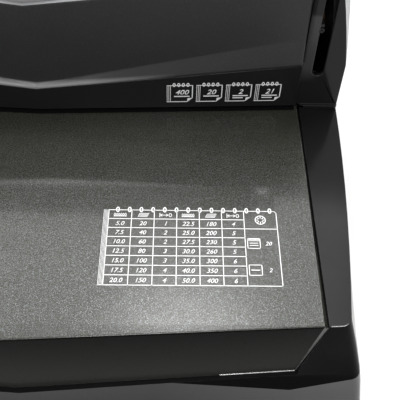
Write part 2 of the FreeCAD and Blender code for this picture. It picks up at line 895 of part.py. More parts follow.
def guide_posts():
    length = table_z + bridge_height + bridge_thickness - throat_z
    return [rod(post_radius, V(x, post_y, throat_z), z_axis, length) for x in slot_places(post_slots)]


def bridge_bar():
    z = table_z + bridge_height
    bar = box(-bridge_half, bridge_half, post_y - 7.0, post_y + 7.0, z, z + bridge_thickness)
    holes = [rod(post_radius + hole_fit, V(x, post_y, z - 1), z_axis, 10) for x in slot_places(post_slots)]
    return bar.cut(Part.makeCompound(holes))


def shaft_bushes():
    bushes = []
    for side in (-1, 1):
        way = V(side, 0, 0)
        start = V(side * (frame_inner_x - bush_flange), shaft_y, shaft_z)
        bush = rod(shaft_radius + 4.0, start, way, bush_flange).fuse(
            rod(shaft_radius + 2.5, start, way, bush_flange + frame_sheet))
        bushes.append(bush.removeSplitter().cut(rod(shaft_radius + run_fit, start, way, 20)))
    return bushes


def comb_bushes():
    bushes = []
    for side in (-1, 1):
        way = V(side, 0, 0)
        start = V(side * (frame_inner_x - bush_flange), comb_shaft_y, comb_shaft_z)
        bush = rod(comb_shaft_radius + 3.5, start, way, bush_flange).fuse(
            rod(comb_shaft_radius + 2.0, start, way, bush_flange + frame_sheet))
        bushes.append(bush.removeSplitter().cut(rod(comb_shaft_radius + run_fit, start, way, 20)))
    return bushes


# ---------------------------------------------------------------- handle and its shaft

def lock_pin(x, y, z, radius, length):
    return rod(radius, V(x, y - length / 2.0, z), y_axis, length)


def pinion_pin_x():
    return gear_inner_x - pinion_hub_length / 2.0


def drive_shaft():
    shaft = rod(shaft_radius, V(-shaft_half, shaft_y, shaft_z), x_axis, 2 * shaft_half)
    cuts = []
    for side in (-1, 1):
        cuts.append(lock_pin(side * pinion_pin_x(), shaft_y, shaft_z, lock_pin_radius + hole_fit, 30))
        cuts.append(lock_pin(side * (arm_inner_x + arm_thickness / 2), shaft_y, shaft_z, lock_pin_radius + hole_fit,
                             40))
    return shaft.cut(Part.makeCompound(cuts))


def drive_pinions():
    pinion = gear_pinion(gear_width)
    pinion.translate(V(gear_inner_x, shaft_y, shaft_z))
    hub = rod(pinion_hub_radius, V(gear_inner_x - pinion_hub_length, shaft_y, shaft_z), x_axis, pinion_hub_length)
    pinion = pinion.fuse(hub)
    pinion = pinion.cut(rod(shaft_radius + hole_fit, V(0, shaft_y, shaft_z), x_axis, far))
    pinion = pinion.cut(lock_pin(pinion_pin_x(), shaft_y, shaft_z, lock_pin_radius + hole_fit, 40))
    return pair(pinion)


def lock_pins():
    pins = []
    for side in (-1, 1):
        pins.append(lock_pin(side * pinion_pin_x(), shaft_y, shaft_z, lock_pin_radius, 2 * pinion_hub_radius - 1.0))
        x = side * (arm_inner_x + arm_thickness / 2)
        pins.append(lock_pin(x, shaft_y, shaft_z, lock_pin_radius, 2 * arm_hub - 3.0))
    return pins


def lean_back(shape):
    shape.rotate(V(0, shaft_y, shaft_z), x_axis, -arm_lean)
    return shape


def handle_arm(side):
    x0 = arm_inner_x if side > 0 else -arm_outer_x
    hub = rod(arm_hub, V(x0, shaft_y, shaft_z), x_axis, arm_thickness)
    tip = rod(arm_width / 2, V(x0, shaft_y, shaft_z + arm_length), x_axis, arm_thickness)
    blade = box(x0, x0 + arm_thickness, shaft_y - arm_width / 2, shaft_y + arm_width / 2, shaft_z,
                shaft_z + arm_length)
    arm = hub.fuse([tip, blade]).removeSplitter()
    arm = arm.cut(rod(bar_screw_radius + screw_play, V(x0 - 1, shaft_y, shaft_z + arm_length), x_axis, 10))
    arm = lean_back(arm)
    arm = arm.cut(rod(shaft_radius + hole_fit, V(x0 - 1, shaft_y, shaft_z), x_axis, 10))
    return arm.cut(lock_pin(x0 + arm_thickness / 2, shaft_y, shaft_z, lock_pin_radius + hole_fit, 40))


def handle_bar():
    z = shaft_z + arm_length
    bar = rod(bar_tube_radius, V(-arm_inner_x, shaft_y, z), x_axis, 2 * arm_inner_x)
    for x in (-arm_inner_x, arm_inner_x - 14.0):
        bar = bar.cut(rod(bar_screw_radius + hole_fit, V(x, shaft_y, z), x_axis, 14.0))
    return lean_back(bar)


def handle_grip():
    z = shaft_z + arm_length
    grip = rod(grip_radius, V(-grip_half, shaft_y, z), x_axis, 2 * grip_half)
    ends = [e for e in grip.Edges if e.BoundBox.XLength < 0.01]
    grip = grip.makeFillet(4.0, ends)
    return lean_back(grip.cut(rod(bar_tube_radius + hole_fit, V(-far, shaft_y, z), x_axis, 2 * far)))


def handle_screws():
    z = shaft_z + arm_length
    screws = []
    for side in (-1, 1):
        place = V(side * arm_outer_x, shaft_y, z)
        screws.append(lean_back(screw(place, V(-side, 0, 0), arm_thickness + 12.0, bar_screw_radius, 5.0, 2.6)))
    return screws


# ---------------------------------------------------------------- punch bar

def punch_bar():
    bar = box(-bar_half, bar_half, bar_front_y, bar_back_y, bar_z, bar_top_z)
    bar = bar.cut(punch_holes(run_fit, bar_z + 2.0, bar_top_z + 1.0))
    bar = bar.cut(punch_holes(run_fit, 0, bar_top_z))
    holes = [rod(post_radius + run_fit, V(x, post_y, 0), z_axis, far) for x in slot_places(post_slots)]
    holes += [rod(screw_radius + hole_fit, V(x, hole_row_y, bar_top_z - 8), z_axis, 10) for x in retainer_places()]
    for side in (-1, 1):
        for z in rack_screw_heights():
            holes.append(rod(screw_radius + hole_fit, V(side * rack_middle_x(), bar_back_y - 8, z), y_axis, 10))
    return bar.cut(Part.makeCompound(holes))


def punch_pins():
    half = hole_width / 2
    depth = hole_depth / 2
    return [box(x - half, x + half, hole_row_y - depth, hole_row_y + depth, table_z + pin_rest_tip, bar_top_z)
            for x in finger_places()]


def retainer_places():
    return slot_places(retainer_slots)


def pin_retainer():
    half = row_half + hole_width / 2.0
    strip = box(-half, half, hole_row_y - 3.5, hole_row_y + 3.5, bar_top_z, bar_top_z + retainer_thickness)
    holes = [rod(screw_radius + screw_play, V(x, hole_row_y, bar_top_z - 1), z_axis, 10) for x in retainer_places()]
    return strip.cut(Part.makeCompound(holes))


def retainer_screws():
    down = V(0, 0, -1)
    return [screw(V(x, hole_row_y, bar_top_z + retainer_thickness), down, 8.0) for x in retainer_places()]


def rack_middle_x():
    return gear_inner_x + gear_width / 2.0


def rack_screw_heights():
    return [bar_z + 3.0, bar_top_z - 2.5]


def punch_racks():
    low = bar_z - shaft_z + 0.5
    high = punch_stroke + 9.0
    rack = gear_rack(gear_width - 1.0, low, high, rack_body)
    rack.translate(V(gear_inner_x + 0.5, punch_rack_y, shaft_z))
    for z in rack_screw_heights():
        rack = rack.cut(rod(screw_radius + screw_play, V(rack_middle_x(), punch_rack_y - 20, z), y_axis, 40))
        rack = rack.cut(rod(screw_head_radius + 0.2, V(rack_middle_x(), punch_rack_y - gear_dedendum - 1.8, z),
                            y_axis, 40))
    return pair(rack)


def rack_screws():
    screws = []
    for side in (-1, 1):
        for z in rack_screw_heights():
            place = V(side * rack_middle_x(), punch_rack_y - gear_dedendum - 1.8, z)
            screws.append(screw(place, V(0, -1, 0), 9.0, screw_radius, screw_head_radius, 1.4))
    return screws


def return_springs():
    low = bar_top_z
    high = table_z + bridge_height
    springs = []
    for x in slot_places(spring_slots):
        pitch = (high - low - 2 * spring_wire) / spring_turns
        helix = Part.makeHelix(pitch, pitch * spring_turns, spring_radius)
        start = Part.Wire(Part.makeCircle(spring_wire, V(spring_radius, 0, 0), y_axis))
        coil = Part.Wire(helix).makePipeShell([start], True, True)
        coil.translate(V(x, post_y, low + spring_wire))
        springs.append(coil)
    return springs


# ---------------------------------------------------------------- comb opener

def comb_shaft():
    length = comb_shaft_right - comb_shaft_left
    shaft = rod(comb_shaft_radius, V(comb_shaft_left, comb_shaft_y, comb_shaft_z), x_axis, length)
    cuts = [lock_pin(comb_pin_x(side), comb_shaft_y, comb_shaft_z, comb_pin_radius + hole_fit, 30)
            for side in (-1, 1)]
    cuts.append(rod(screw_radius + hole_fit, V(comb_shaft_left, comb_shaft_y, comb_shaft_z), x_axis, 8.0))
    flat = box(comb_shaft_left - 1, -lever_outer_x + lever_thickness + 0.5, comb_shaft_y - 5, comb_shaft_y + 5,
               comb_shaft_z + lever_flat, comb_shaft_z + 6.0)
    return shaft.cut(Part.makeCompound(cuts)).cut(flat)


def comb_pin_x(side):
    return side * (comb_gear_x - gear_width / 2.0 - comb_hub_length / 2.0)


def comb_pinions():
    pinions = []
    for side in (-1, 1):
        pinion = gear_pinion(gear_width)
        pinion.rotate(V(0, 0, 0), x_axis, -90)
        pinion.translate(V(side * comb_gear_x - gear_width / 2.0, comb_shaft_y, comb_shaft_z))
        hub_start = comb_pin_x(side) - comb_hub_length / 2.0
        hub = rod(comb_hub_radius, V(hub_start, comb_shaft_y, comb_shaft_z), x_axis, comb_hub_length)
        pinion = pinion.fuse(hub)
        pinion = pinion.cut(rod(comb_shaft_radius + hole_fit, V(-far, comb_shaft_y, comb_shaft_z), x_axis, 2 * far))
        pin = lock_pin(comb_pin_x(side), comb_shaft_y, comb_shaft_z, comb_pin_radius + hole_fit, 30)
        pinions.append(pinion.cut(pin))
    return pinions


def comb_lock_pins():
    length = 2 * comb_hub_radius - 1.0
    return [lock_pin(comb_pin_x(side), comb_shaft_y, comb_shaft_z, comb_pin_radius, length) for side in (-1, 1)]


def opener_racks():
    body = slide_z - (comb_shaft_z + gear_radius) - gear_dedendum
    racks = []
    for side in (-1, 1):
        rack = gear_rack(gear_width - 1.0, -comb_travel - 8.0, 9.0, body)
        rack.rotate(V(0, 0, 0), x_axis, -90)
        rack.translate(V(side * comb_gear_x - gear_width / 2.0 + 0.5, comb_shaft_y, comb_shaft_z + gear_radius))
        racks.append(rack)
    return racks


def opener_slide():
    slide = box(-slide_half, slide_half, slide_front_y, slide_back_y, slide_z, slide_top_z)
    cuts = []
    for x in slot_places(slide_pin_slots):
        half = slide_pin_radius + seat_gap
        low = slide_pin_y - comb_travel - half - 0.3
        high = slide_pin_y + half
        cuts.append(box(x - half, x + half, low, high, slide_z - 1, slide_top_z + 1))
    return slide.cut(Part.makeCompound(cuts))


def slide_pins():
    pins = []
    for x in slot_places(slide_pin_slots):
        under = deck_z - deck_sheet
        stem = rod(slide_pin_radius, V(x, slide_pin_y, slide_z - seat_gap), z_axis, under - slide_z + seat_gap)
        rivet = rod(slide_rivet_radius, V(x, slide_pin_y, under), z_axis, deck_sheet)
        head = rod(slide_pin_head, V(x, slide_pin_y, slide_z - seat_gap - 1.6), z_axis, 1.6)
        pins.append(stem.fuse([rivet, head]).removeSplitter())
    return pins


def opener_hooks():
    hooks = []
    for x in finger_places():
        left = x - finger_width / 2
        back = slide_front_y
        front = back - finger_thickness
        top = table_z + finger_top
        outline = [(back, slide_z), (back, top), (front - hook_nose, top), (front - hook_nose, top - 1.2),
                   (front, top - finger_thickness), (front, slide_z)]
        hooks.append(side_prism(outline, left, left + finger_width))
    return hooks


def tilt_forward(shape):
    shape.rotate(V(0, comb_shaft_y, comb_shaft_z), x_axis, lever_tilt)
    return shape


def comb_lever():
    x0 = -lever_outer_x
    hub = rod(lever_hub, V(x0, comb_shaft_y, comb_shaft_z), x_axis, lever_thickness)
    outline = [(comb_shaft_y - 8.0, comb_shaft_z), (comb_shaft_y + 8.0, comb_shaft_z),
               (comb_shaft_y + lever_width / 2 - 2, comb_shaft_z + lever_length),
               (comb_shaft_y - lever_width / 2 + 2, comb_shaft_z + lever_length)]
    lever = hub.fuse(side_prism(outline, x0, x0 + lever_thickness)).removeSplitter()
    bore = rod(comb_shaft_radius + hole_fit, V(x0 - 1, comb_shaft_y, comb_shaft_z), x_axis, 10)
    flat = box(x0 - 1, x0 + 10, comb_shaft_y - 5, comb_shaft_y + 5, comb_shaft_z + lever_flat + hole_fit,
               comb_shaft_z + 6)
    lever = tilt_forward(lever)
    return lever.cut(bore.cut(flat))


def comb_lever_grip():
    x0 = -lever_outer_x - 2.0
    x1 = -lever_outer_x + lever_thickness + 2.0
    z0 = comb_shaft_z + lever_length - lever_grip_length + 6.0
    grip = box(x0, x1, comb_shaft_y - lever_width / 2 - 1, comb_shaft_y + lever_width / 2 + 1, z0,
               z0 + lever_grip_length)
    grip = grip.makeFillet(2.0, grip.Edges)
    grip = tilt_forward(grip)
    return grip.cut(comb_lever())


def lever_screw():
    place = V(-lever_outer_x, comb_shaft_y, comb_shaft_z)
    return screw(place, x_axis, 8.0, screw_radius, lever_screw_head)


# ---------------------------------------------------------------- margin dial and back stop

def dial_z():
    return table_z + dial_height


def margin_dial():
    face_x = -cap_outer - dial_gap - dial_thickness
    knob = rod(dial_radius, V(face_x, dial_y, dial_z()), x_axis, dial_thickness)
    rim = [e for e in knob.Edges if abs(e.BoundBox.XMin - face_x) < 0.01 and e.BoundBox.XLength < 0.01]
    knob = knob.makeFillet(1.0, rim)
    for step in range(dial_grooves):
        angle = 2 * math.pi * step / dial_grooves
        place = V(-far, dial_y + dial_radius * math.cos(angle), dial_z() + dial_radius * math.sin(angle))
        knob = knob.cut(rod(dial_groove_radius, place, x_axis, far))
    spindle = rod(spindle_radius, V(-cap_outer - dial_gap, dial_y, dial_z()), x_axis, cap_wall + dial_gap + 0.3)
    return knob.fuse(spindle).removeSplitter()


def margin_crank():
    x0 = -cap_outer + cap_wall + 0.3
    x1 = stop_tab_x - 0.3
    disc = rod(crank_radius + crank_pin_radius + 0.8, V(x0, dial_y, dial_z()), x_axis, x1 - x0)
    pin = rod(crank_pin_radius, V(x1, dial_y, dial_z() - crank_radius), x_axis, stop_tab_sheet + 0.8)
    return disc.fuse(pin).removeSplitter()


def back_stop():
    front = hole_row_y + hole_depth / 2 + stop_margin
    low = table_z + 0.25
    strip = box(stop_tab_x, stop_right, front, front + stop_width, low, low + stop_thickness)
    tab = box(stop_tab_x, stop_tab_x + stop_tab_sheet, front, dial_y + 6.0, low, dial_z() + 2.0)
    half = crank_pin_radius + crank_slot_play
    slot = box(stop_tab_x - 1, stop_tab_x + 3, dial_y - half, dial_y + half, dial_z() - crank_radius - 3.2, dial_z())
    return strip.fuse(tab).removeSplitter().cut(slot)


# ---------------------------------------------------------------- edge guide

def guide_stem_x():
    return -sheet_length / 2.0 + guide_stem_inset


def edge_guide():
    right = -sheet_length / 2.0
    left = right - guide_body_width
    front = guide_front_y
    back = skirt_front(right + guide_travel) - 1.0
    z = table_z + seat_gap
    outline = [(front, z), (back, z), (back, z + 1.8), (back - 4.0, z + guide_body_height),
               (front + 9.0, z + guide_body_height)]
    body = side_prism(outline, left, right)
    flange = box(right, right + guide_flange_reach, guide_slot_y - 8.0, back, z, z + guide_flange)
    stem_length = table_sheet + 2.8
    stem = rod(guide_slot_width / 2 - seat_gap, V(guide_stem_x(), guide_slot_y, z - stem_length), z_axis,
               stem_length + 0.5)
    return body.fuse([flange, stem]).removeSplitter()


def guide_clip():
    z = table_z - table_sheet - seat_gap - guide_clip_sheet
    return tube(guide_clip_radius, guide_slot_width / 2 - seat_gap + hole_fit, V(guide_stem_x(), guide_slot_y, z),
                z_axis, guide_clip_sheet)


# ---------------------------------------------------------------- chip drawer

def chip_drawer(outer):
    z = plate_top_z + seat_gap
    front = drawer_front_y
    back = drawer_front_y + drawer_depth
    panel = outer.common(box(-far, -drawer_face_x, front, back, z, z + drawer_height))
    tray = box(-drawer_face_x - drawer_wall, drawer_right, front, back, z, z + drawer_height - 6.0)
    hollow = box(-drawer_face_x + drawer_wall, drawer_right - drawer_wall, front + drawer_wall, back - drawer_wall,
                 z + drawer_wall, z + far)
    drawer = panel.fuse(tray).removeSplitter().cut(hollow)
    pull = Part.makeSphere(pull_radius, V(-pull_x, (front + back) / 2, z + drawer_height / 2))
    return drawer.cut(pull)


def drawer_rails():
    rails = []
    for y in (drawer_front_y - seat_gap - rail_sheet, drawer_front_y + drawer_depth + seat_gap):
        rails.append(box(-rail_left, drawer_right, y, y + rail_sheet, plate_top_z, plate_top_z + rail_height))
    return rails


# ---------------------------------------------------------------- build

outer_body = base_body(0.0)
inner_body = base_body(shell_wall)
save("base_shell", base_shell(outer_body, inner_body))
save("bottom_plate", bottom_plate(inner_body))
save("rubber_feet", rubber_feet())
save("foot_screws", foot_screws())
save("base_screws", base_screws())
save("document_table", document_table())
save("table_posts", table_posts())
save("post_screws", post_screws())
save("upper_housing", upper_housing())
save("slot_screws", slot_screws())
save("hood_panel", hood_panel())
save("top_deck", top_deck())
save("deck_screws", deck_screws())
save("comb_fingers", comb_fingers())
save("rear_cover", rear_cover())
right_frame = side_frame_half()
save("side_frame_right", right_frame)
save("side_frame_left", mirrored(right_frame))
save("frame_screws", frame_screws())
save("tie_rod", tie_rod())
save("tie_nuts", tie_nuts())
save("die_plate", die_plate())
save("guide_plate", guide_plate())
save("throat_spacers", throat_spacers())
save("die_screws", die_screws())
save("guide_posts", guide_posts())
save("bridge_bar", bridge_bar())
save("shaft_bushes", shaft_bushes())
save("comb_bushes", comb_bushes())
save("drive_shaft", drive_shaft())
save("drive_pinions", drive_pinions())
save("lock_pins", lock_pins())
save("handle_arm_right", handle_arm(1))
save("handle_arm_left", handle_arm(-1))
save("handle_bar", handle_bar())
save("handle_grip", handle_grip())
save("handle_screws", handle_screws())
save("punch_bar", punch_bar())
save("punch_pins", punch_pins())
save("pin_retainer", pin_retainer())
save("retainer_screws", retainer_screws())
save("punch_racks", punch_racks())
save("rack_screws", rack_screws())
save("return_springs", return_springs())
save("comb_shaft", comb_shaft())
save("comb_pinions", comb_pinions())
save("comb_lock_pins", comb_lock_pins())
save("opener_racks", opener_racks())
save("opener_slide", opener_slide())
save("slide_pins", slide_pins())
save("opener_hooks", opener_hooks())
save("comb_lever", comb_lever())
save("comb_lever_grip", comb_lever_grip())
save("lever_screw", lever_screw())
save("margin_dial", margin_dial())
save("margin_crank", margin_crank())
save("back_stop", back_stop())
save("edge_guide", edge_guide())
save("guide_clip", guide_clip())
save("chip_drawer", chip_drawer(outer_body))
save("drawer_rails", drawer_rails())
print("punch stroke", round(punch_stroke, 3), "comb travel", round(comb_travel, 3))
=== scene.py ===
import json
import math

import bmesh
import bpy
from mathutils import Matrix, Quaternion, Vector

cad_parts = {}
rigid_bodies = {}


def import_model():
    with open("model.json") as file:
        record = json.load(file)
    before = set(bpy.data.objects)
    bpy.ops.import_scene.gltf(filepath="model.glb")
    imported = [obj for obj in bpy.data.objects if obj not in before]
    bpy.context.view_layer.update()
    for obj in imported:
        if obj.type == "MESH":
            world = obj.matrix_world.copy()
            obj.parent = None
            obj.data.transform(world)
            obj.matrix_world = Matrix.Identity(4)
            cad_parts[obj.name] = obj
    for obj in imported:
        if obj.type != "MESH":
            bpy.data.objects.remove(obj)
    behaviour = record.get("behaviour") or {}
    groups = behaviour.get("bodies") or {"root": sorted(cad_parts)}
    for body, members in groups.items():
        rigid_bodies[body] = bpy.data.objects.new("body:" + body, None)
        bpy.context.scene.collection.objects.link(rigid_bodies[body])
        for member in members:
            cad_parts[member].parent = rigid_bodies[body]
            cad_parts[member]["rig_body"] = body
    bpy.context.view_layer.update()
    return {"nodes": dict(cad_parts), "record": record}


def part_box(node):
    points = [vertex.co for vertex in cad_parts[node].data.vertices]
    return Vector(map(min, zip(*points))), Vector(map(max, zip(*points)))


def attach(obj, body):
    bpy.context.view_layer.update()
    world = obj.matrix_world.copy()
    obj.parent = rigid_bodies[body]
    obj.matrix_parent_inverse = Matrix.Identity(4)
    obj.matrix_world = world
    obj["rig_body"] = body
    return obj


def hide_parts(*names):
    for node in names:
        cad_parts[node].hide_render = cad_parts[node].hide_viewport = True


# Looks of a desk comb punch: gloss black end caps, textured steel table, printed size chart.
# Metres, +X to the operator's right, +Y away from them, +Z up, desk at z = 0.

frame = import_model()
nodes = frame["nodes"]
mm = 0.001
print("frame loaded,", len(nodes), "nodes")


def hexColour(code):
    # sRGB hex to the linear values that the shader sockets take
    def linear(part):
        value = int(part, 16) / 255
        return value / 12.92 if value <= 0.04045 else ((value + 0.055) / 1.055) ** 2.4
    return tuple(linear(code[i:i + 2]) for i in (0, 2, 4)) + (1.0,)


def addNode(tree, kind, sockets=(), out=0, **settings):
    # adds a shader node and gives back one of its outputs; sockets holds values and other nodes' outputs,
    # in the order of the node's inputs or by their names or numbers
    node = tree.nodes.new("ShaderNode" + kind)
    for key, value in settings.items():
        setattr(node, key, value)
    for key, value in (sockets.items() if isinstance(sockets, dict) else enumerate(sockets)):
        if isinstance(value, bpy.types.NodeSocket):
            tree.links.new(value, node.inputs[key])
        else:
            node.inputs[key].default_value = value
    return node.outputs[out]


def newFinish(name, **sockets):
    # a Principled material and the object's own coordinates; sockets sets plain values, such as Metallic=1.0
    material = bpy.data.materials.new(name)
    material.use_nodes = True
    tree = material.node_tree
    shader = tree.nodes["Principled BSDF"]
    for key, value in sockets.items():
        shader.inputs[key.replace("_", " ")].default_value = value
    return material, tree, shader, addNode(tree, "TexCoord", out="Object")


def dressFinish(tree, shader, layers, roughness, **relief):
    # colours laid one over another where their masks say, then the roughness and the fine relief
    body = hexColour(layers[0])
    for mask, code in layers[1:]:
        body = addNode(tree, "Mix", {0: mask, 6: body, 7: hexColour(code)}, 2, data_type="RGBA")
    tree.links.new(body, shader.inputs["Base Color"])
    tree.links.new(roughness, shader.inputs["Roughness"])
    if relief:
        tree.links.new(addNode(tree, "Bump", relief), shader.inputs["Normal"])


edgeTurn = (0.997, 0.90)      # cosine between flat and rounded normal, where wear starts and where it is full


def wornEdges(tree, reach, patches):
    # 1 on edges that turn within reach, only in the patches of a mask, so that the wear comes and goes
    rounded = addNode(tree, "Bevel", [reach], samples=4)
    flat = addNode(tree, "NewGeometry", out="Normal")
    turn = addNode(tree, "VectorMath", [rounded, flat], "Value", operation="DOT_PRODUCT")
    edge = addNode(tree, "MapRange", [turn, *edgeTurn, 0, 1])
    return addNode(tree, "Math", [edge, patches], operation="MULTIPLY")


def within(tree, value, start, full, fullEnd, end):
    # 1 between full and fullEnd, falling to 0 at start and at end
    rise = addNode(tree, "MapRange", [value, start, full, 0, 1])
    fall = addNode(tree, "MapRange", [value, fullEnd, end, 1, 0])
    return addNode(tree, "Math", [rise, fall], operation="MULTIPLY")


# gloss ABS, injection-moulded in a polished mould: black and mirror-like with a slight waviness, thin dust and
# handling smears; real dust is finer and is drawn coarser, so that it shows
glossAbs = {"colour": "19191a", "dusty": "343435", "worn": "505052", "paintedHighlight": "d0d0d0", "ior": 1.53,
            "roughness": (0.09, 0.19), "wave": 3.5 * mm, "waveDepth": 0.02 * mm, "dust": 1.1 * mm,
            "smear": 28 * mm, "scuff": 6 * mm, "edge": 0.5 * mm, "glintEdge": 0.7 * mm,
            "corner": (70 * mm, 150 * mm)}
# its kinds; the specular level says how much of the room a face shows
glossKinds = {
    "gloss_black": {"name": "glossBlackAbs", "specular": 0.12},
    # painted shade: the upright front, which stands in the machine's own shade, gets a darker copy that shows
    # little of the room
    "shadedFrontGloss": {"name": "glossBlackAbsShadedFront", "specular": 0.01, "colour": "0b0b0c"},
    # a copy for the housing's upright front, which carries a painted reflection on the caps beside the lever
    # slot
    "uprightGloss": {"name": "glossBlackAbsUpright", "specular": 0.16, "colour": "1c1c1d",
                     "capReflectionColour": "3b3b3c"},
    # the foot gets a copy that shows more of the room, greyed towards the front corners as a painted reflection
    # of the floor
    "footGloss": {"name": "glossBlackAbsFoot", "specular": 0.45, "cornerReflectionColour": "414142"},
}
# the caps' front strip beside the lever slot, drawn lighter as a painted reflection: where it starts, is full,
# stops being full and ends, first across and then up
capReflectionStrip = {"side": (150.5 * mm, 151.5 * mm, 157 * mm, 160 * mm),
            "height": (98 * mm, 108 * mm, 142 * mm, 144 * mm)}
# painted highlight: a pale glint along the shell's front edge at the table's level
glintLedge = {"side": (153.6 * mm, 154.6 * mm, 161 * mm, 163 * mm), "front": (-119 * mm, -120 * mm),
               "height": (75.5 * mm, 76.5 * mm)}


def makeGlossAbs(name, specular, colour=glossAbs["colour"], capReflectionColour=None, cornerReflectionColour=None):
    material, tree, shader, place = newFinish(name, IOR=glossAbs["ior"], Specular_IOR_Level=specular)
    x, y, z = addNode(tree, "SeparateXYZ", [place]).node.outputs
    side = addNode(tree, "Math", [x], operation="ABSOLUTE")
    dust = addNode(tree, "TexNoise", {"Vector": place, "Scale": 1 / glossAbs["dust"], "Detail": 1.0})
    layers = [colour, (addNode(tree, "MapRange", [dust, 0.77, 0.82, 0, 1]), glossAbs["dusty"])]
    # painted reflection: the foot is lighter towards its corners
    if cornerReflectionColour:
        layers.append((addNode(tree, "MapRange", [side, *glossAbs["corner"], 0, 1]), cornerReflectionColour))
    # painted reflection: the caps' front strip beside the lever slot is lighter
    if capReflectionColour:
        strip = [within(tree, side, *capReflectionStrip["side"]), within(tree, z, *capReflectionStrip["height"])]
        layers.append((addNode(tree, "Math", strip, operation="MULTIPLY"), capReflectionColour))
    scuff = addNode(tree, "TexNoise", {"Vector": place, "Scale": 1 / glossAbs["scuff"], "Detail": 3.0})
    scuff = addNode(tree, "MapRange", [scuff, 0.45, 0.75, 0, 0.5])
    layers.append((wornEdges(tree, glossAbs["edge"], scuff), glossAbs["worn"]))
    # painted highlight: the shell's front edge at the table's level is drawn pale
    atLedge = [addNode(tree, "MapRange", [y, *glintLedge["front"], 0, 1]),
               addNode(tree, "MapRange", [z, *glintLedge["height"], 0, 1])]
    ledge = addNode(tree, "Math", atLedge, operation="MULTIPLY")
    ledge = addNode(tree, "Math", [ledge, within(tree, side, *glintLedge["side"])], operation="MULTIPLY")
    layers.append((wornEdges(tree, glossAbs["glintEdge"], ledge), glossAbs["paintedHighlight"]))
    smear = addNode(tree, "TexNoise", {"Vector": place, "Scale": 1 / glossAbs["smear"], "Detail": 4.0,
                                       "Roughness": 0.6})
    rough = addNode(tree, "MapRange", [smear, 0.3, 0.75, *glossAbs["roughness"]])
    wave = addNode(tree, "TexNoise", {"Vector": place, "Scale": 1 / glossAbs["wave"], "Detail": 1.0})
    dressFinish(tree, shader, layers, rough, Height=wave, Strength=0.25, Distance=glossAbs["waveDepth"])
    return material


# ABS from a spark-eroded mould: an even fine grit that breaks the highlight into specks; real grit is about
# 0.1 mm and is drawn coarser, so that it shows
satinAbs = {"colour": "272728", "fleck": "444444", "worn": "6a6a6a", "paintedHighlight": "9c9c9d", "ior": 1.53,
            "roughness": (0.32, 0.41), "specular": 0.3, "grit": 0.55 * mm, "gritDepth": 0.05 * mm,
            "rounding": 1.8 * mm, "cloud": 20 * mm, "scuff": 5 * mm, "edge": 0.5 * mm}
# painted highlight: the ledge over the skirt is drawn pale, most of all near the middle: up to which height,
# with the slope of that limit, and how far to each side
ledgeHighlight = {"slope": -0.1, "height": (96.7 * mm, 98.7 * mm), "side": (30 * mm, 80 * mm), "strength": 0.9}


def makeSatinAbs():
    material, tree, shader, place = newFinish(
        "satinSparkAbs", IOR=satinAbs["ior"], Specular_IOR_Level=satinAbs["specular"])
    grit = addNode(tree, "TexNoise", {"Vector": place, "Scale": 1 / satinAbs["grit"], "Roughness": 0.6})
    spot = addNode(tree, "SeparateXYZ", [place]).node.outputs
    side = addNode(tree, "Math", [spot["X"]], operation="ABSOLUTE")
    # painted highlight on the ledge over the skirt
    rise = addNode(tree, "Math", [side, ledgeHighlight["slope"], spot["Z"]], operation="MULTIPLY_ADD")
    paintedHighlight = [addNode(tree, "MapRange", [rise, *ledgeHighlight["height"], 1, 0]),
              addNode(tree, "MapRange", [side, *ledgeHighlight["side"], ledgeHighlight["strength"], 0])]
    scuff = addNode(tree, "TexNoise", {"Vector": place, "Scale": 1 / satinAbs["scuff"], "Detail": 3.0})
    scuff = addNode(tree, "MapRange", [scuff, 0.4, 0.7, 0, 0.5])
    layers = [satinAbs["colour"], (addNode(tree, "MapRange", [grit, 0.55, 0.75, 0, 0.6]), satinAbs["fleck"]),
              (addNode(tree, "Math", paintedHighlight, operation="MULTIPLY"), satinAbs["paintedHighlight"]),
              (wornEdges(tree, satinAbs["edge"], scuff), satinAbs["worn"])]
    cloud = addNode(tree, "TexNoise", {"Vector": place, "Scale": 1 / satinAbs["cloud"], "Detail": 3.0})
    rough = addNode(tree, "MapRange", [cloud, 0.3, 0.7, *satinAbs["roughness"]])
    soft = addNode(tree, "Bevel", [satinAbs["rounding"]], samples=8)
    dressFinish(tree, shader, layers, rough, Height=grit, Strength=0.5, Distance=satinAbs["gritDepth"],
                Normal=soft)
    return material


# textured powder coat on steel, sprayed and baked: dark warm grey with orange-peel lumps and bright flakes, and
# a thin smooth veil on top that draws the lamps' edges; real flakes are about 0.05 mm and are drawn coarser,
# so that they show
powderCoat = {"dark": "1a1913", "light": "3b3a31", "worn": "8a8a86", "flake": "5c5f60", "ior": 1.5,
              "roughness": (0.24, 0.36), "specular": 0.13, "orangePeel": 0.65 * mm, "peelDepth": 0.03 * mm,
              "flakeSize": 0.34 * mm, "flakeMetal": 0.88, "cloud": 14 * mm, "veil": 0.34,
              "veilRoughness": 0.09, "scuff": 4 * mm, "edge": 0.6 * mm}
# painted shade: the apron, which stands in the table's shade, gets a darker copy of the coat that lightens from
# its top to its foot
shadedFrontCoat = {"specular": 0.02, "top": "090908", "foot": "2a2a28", "height": (76 * mm, 26 * mm)}


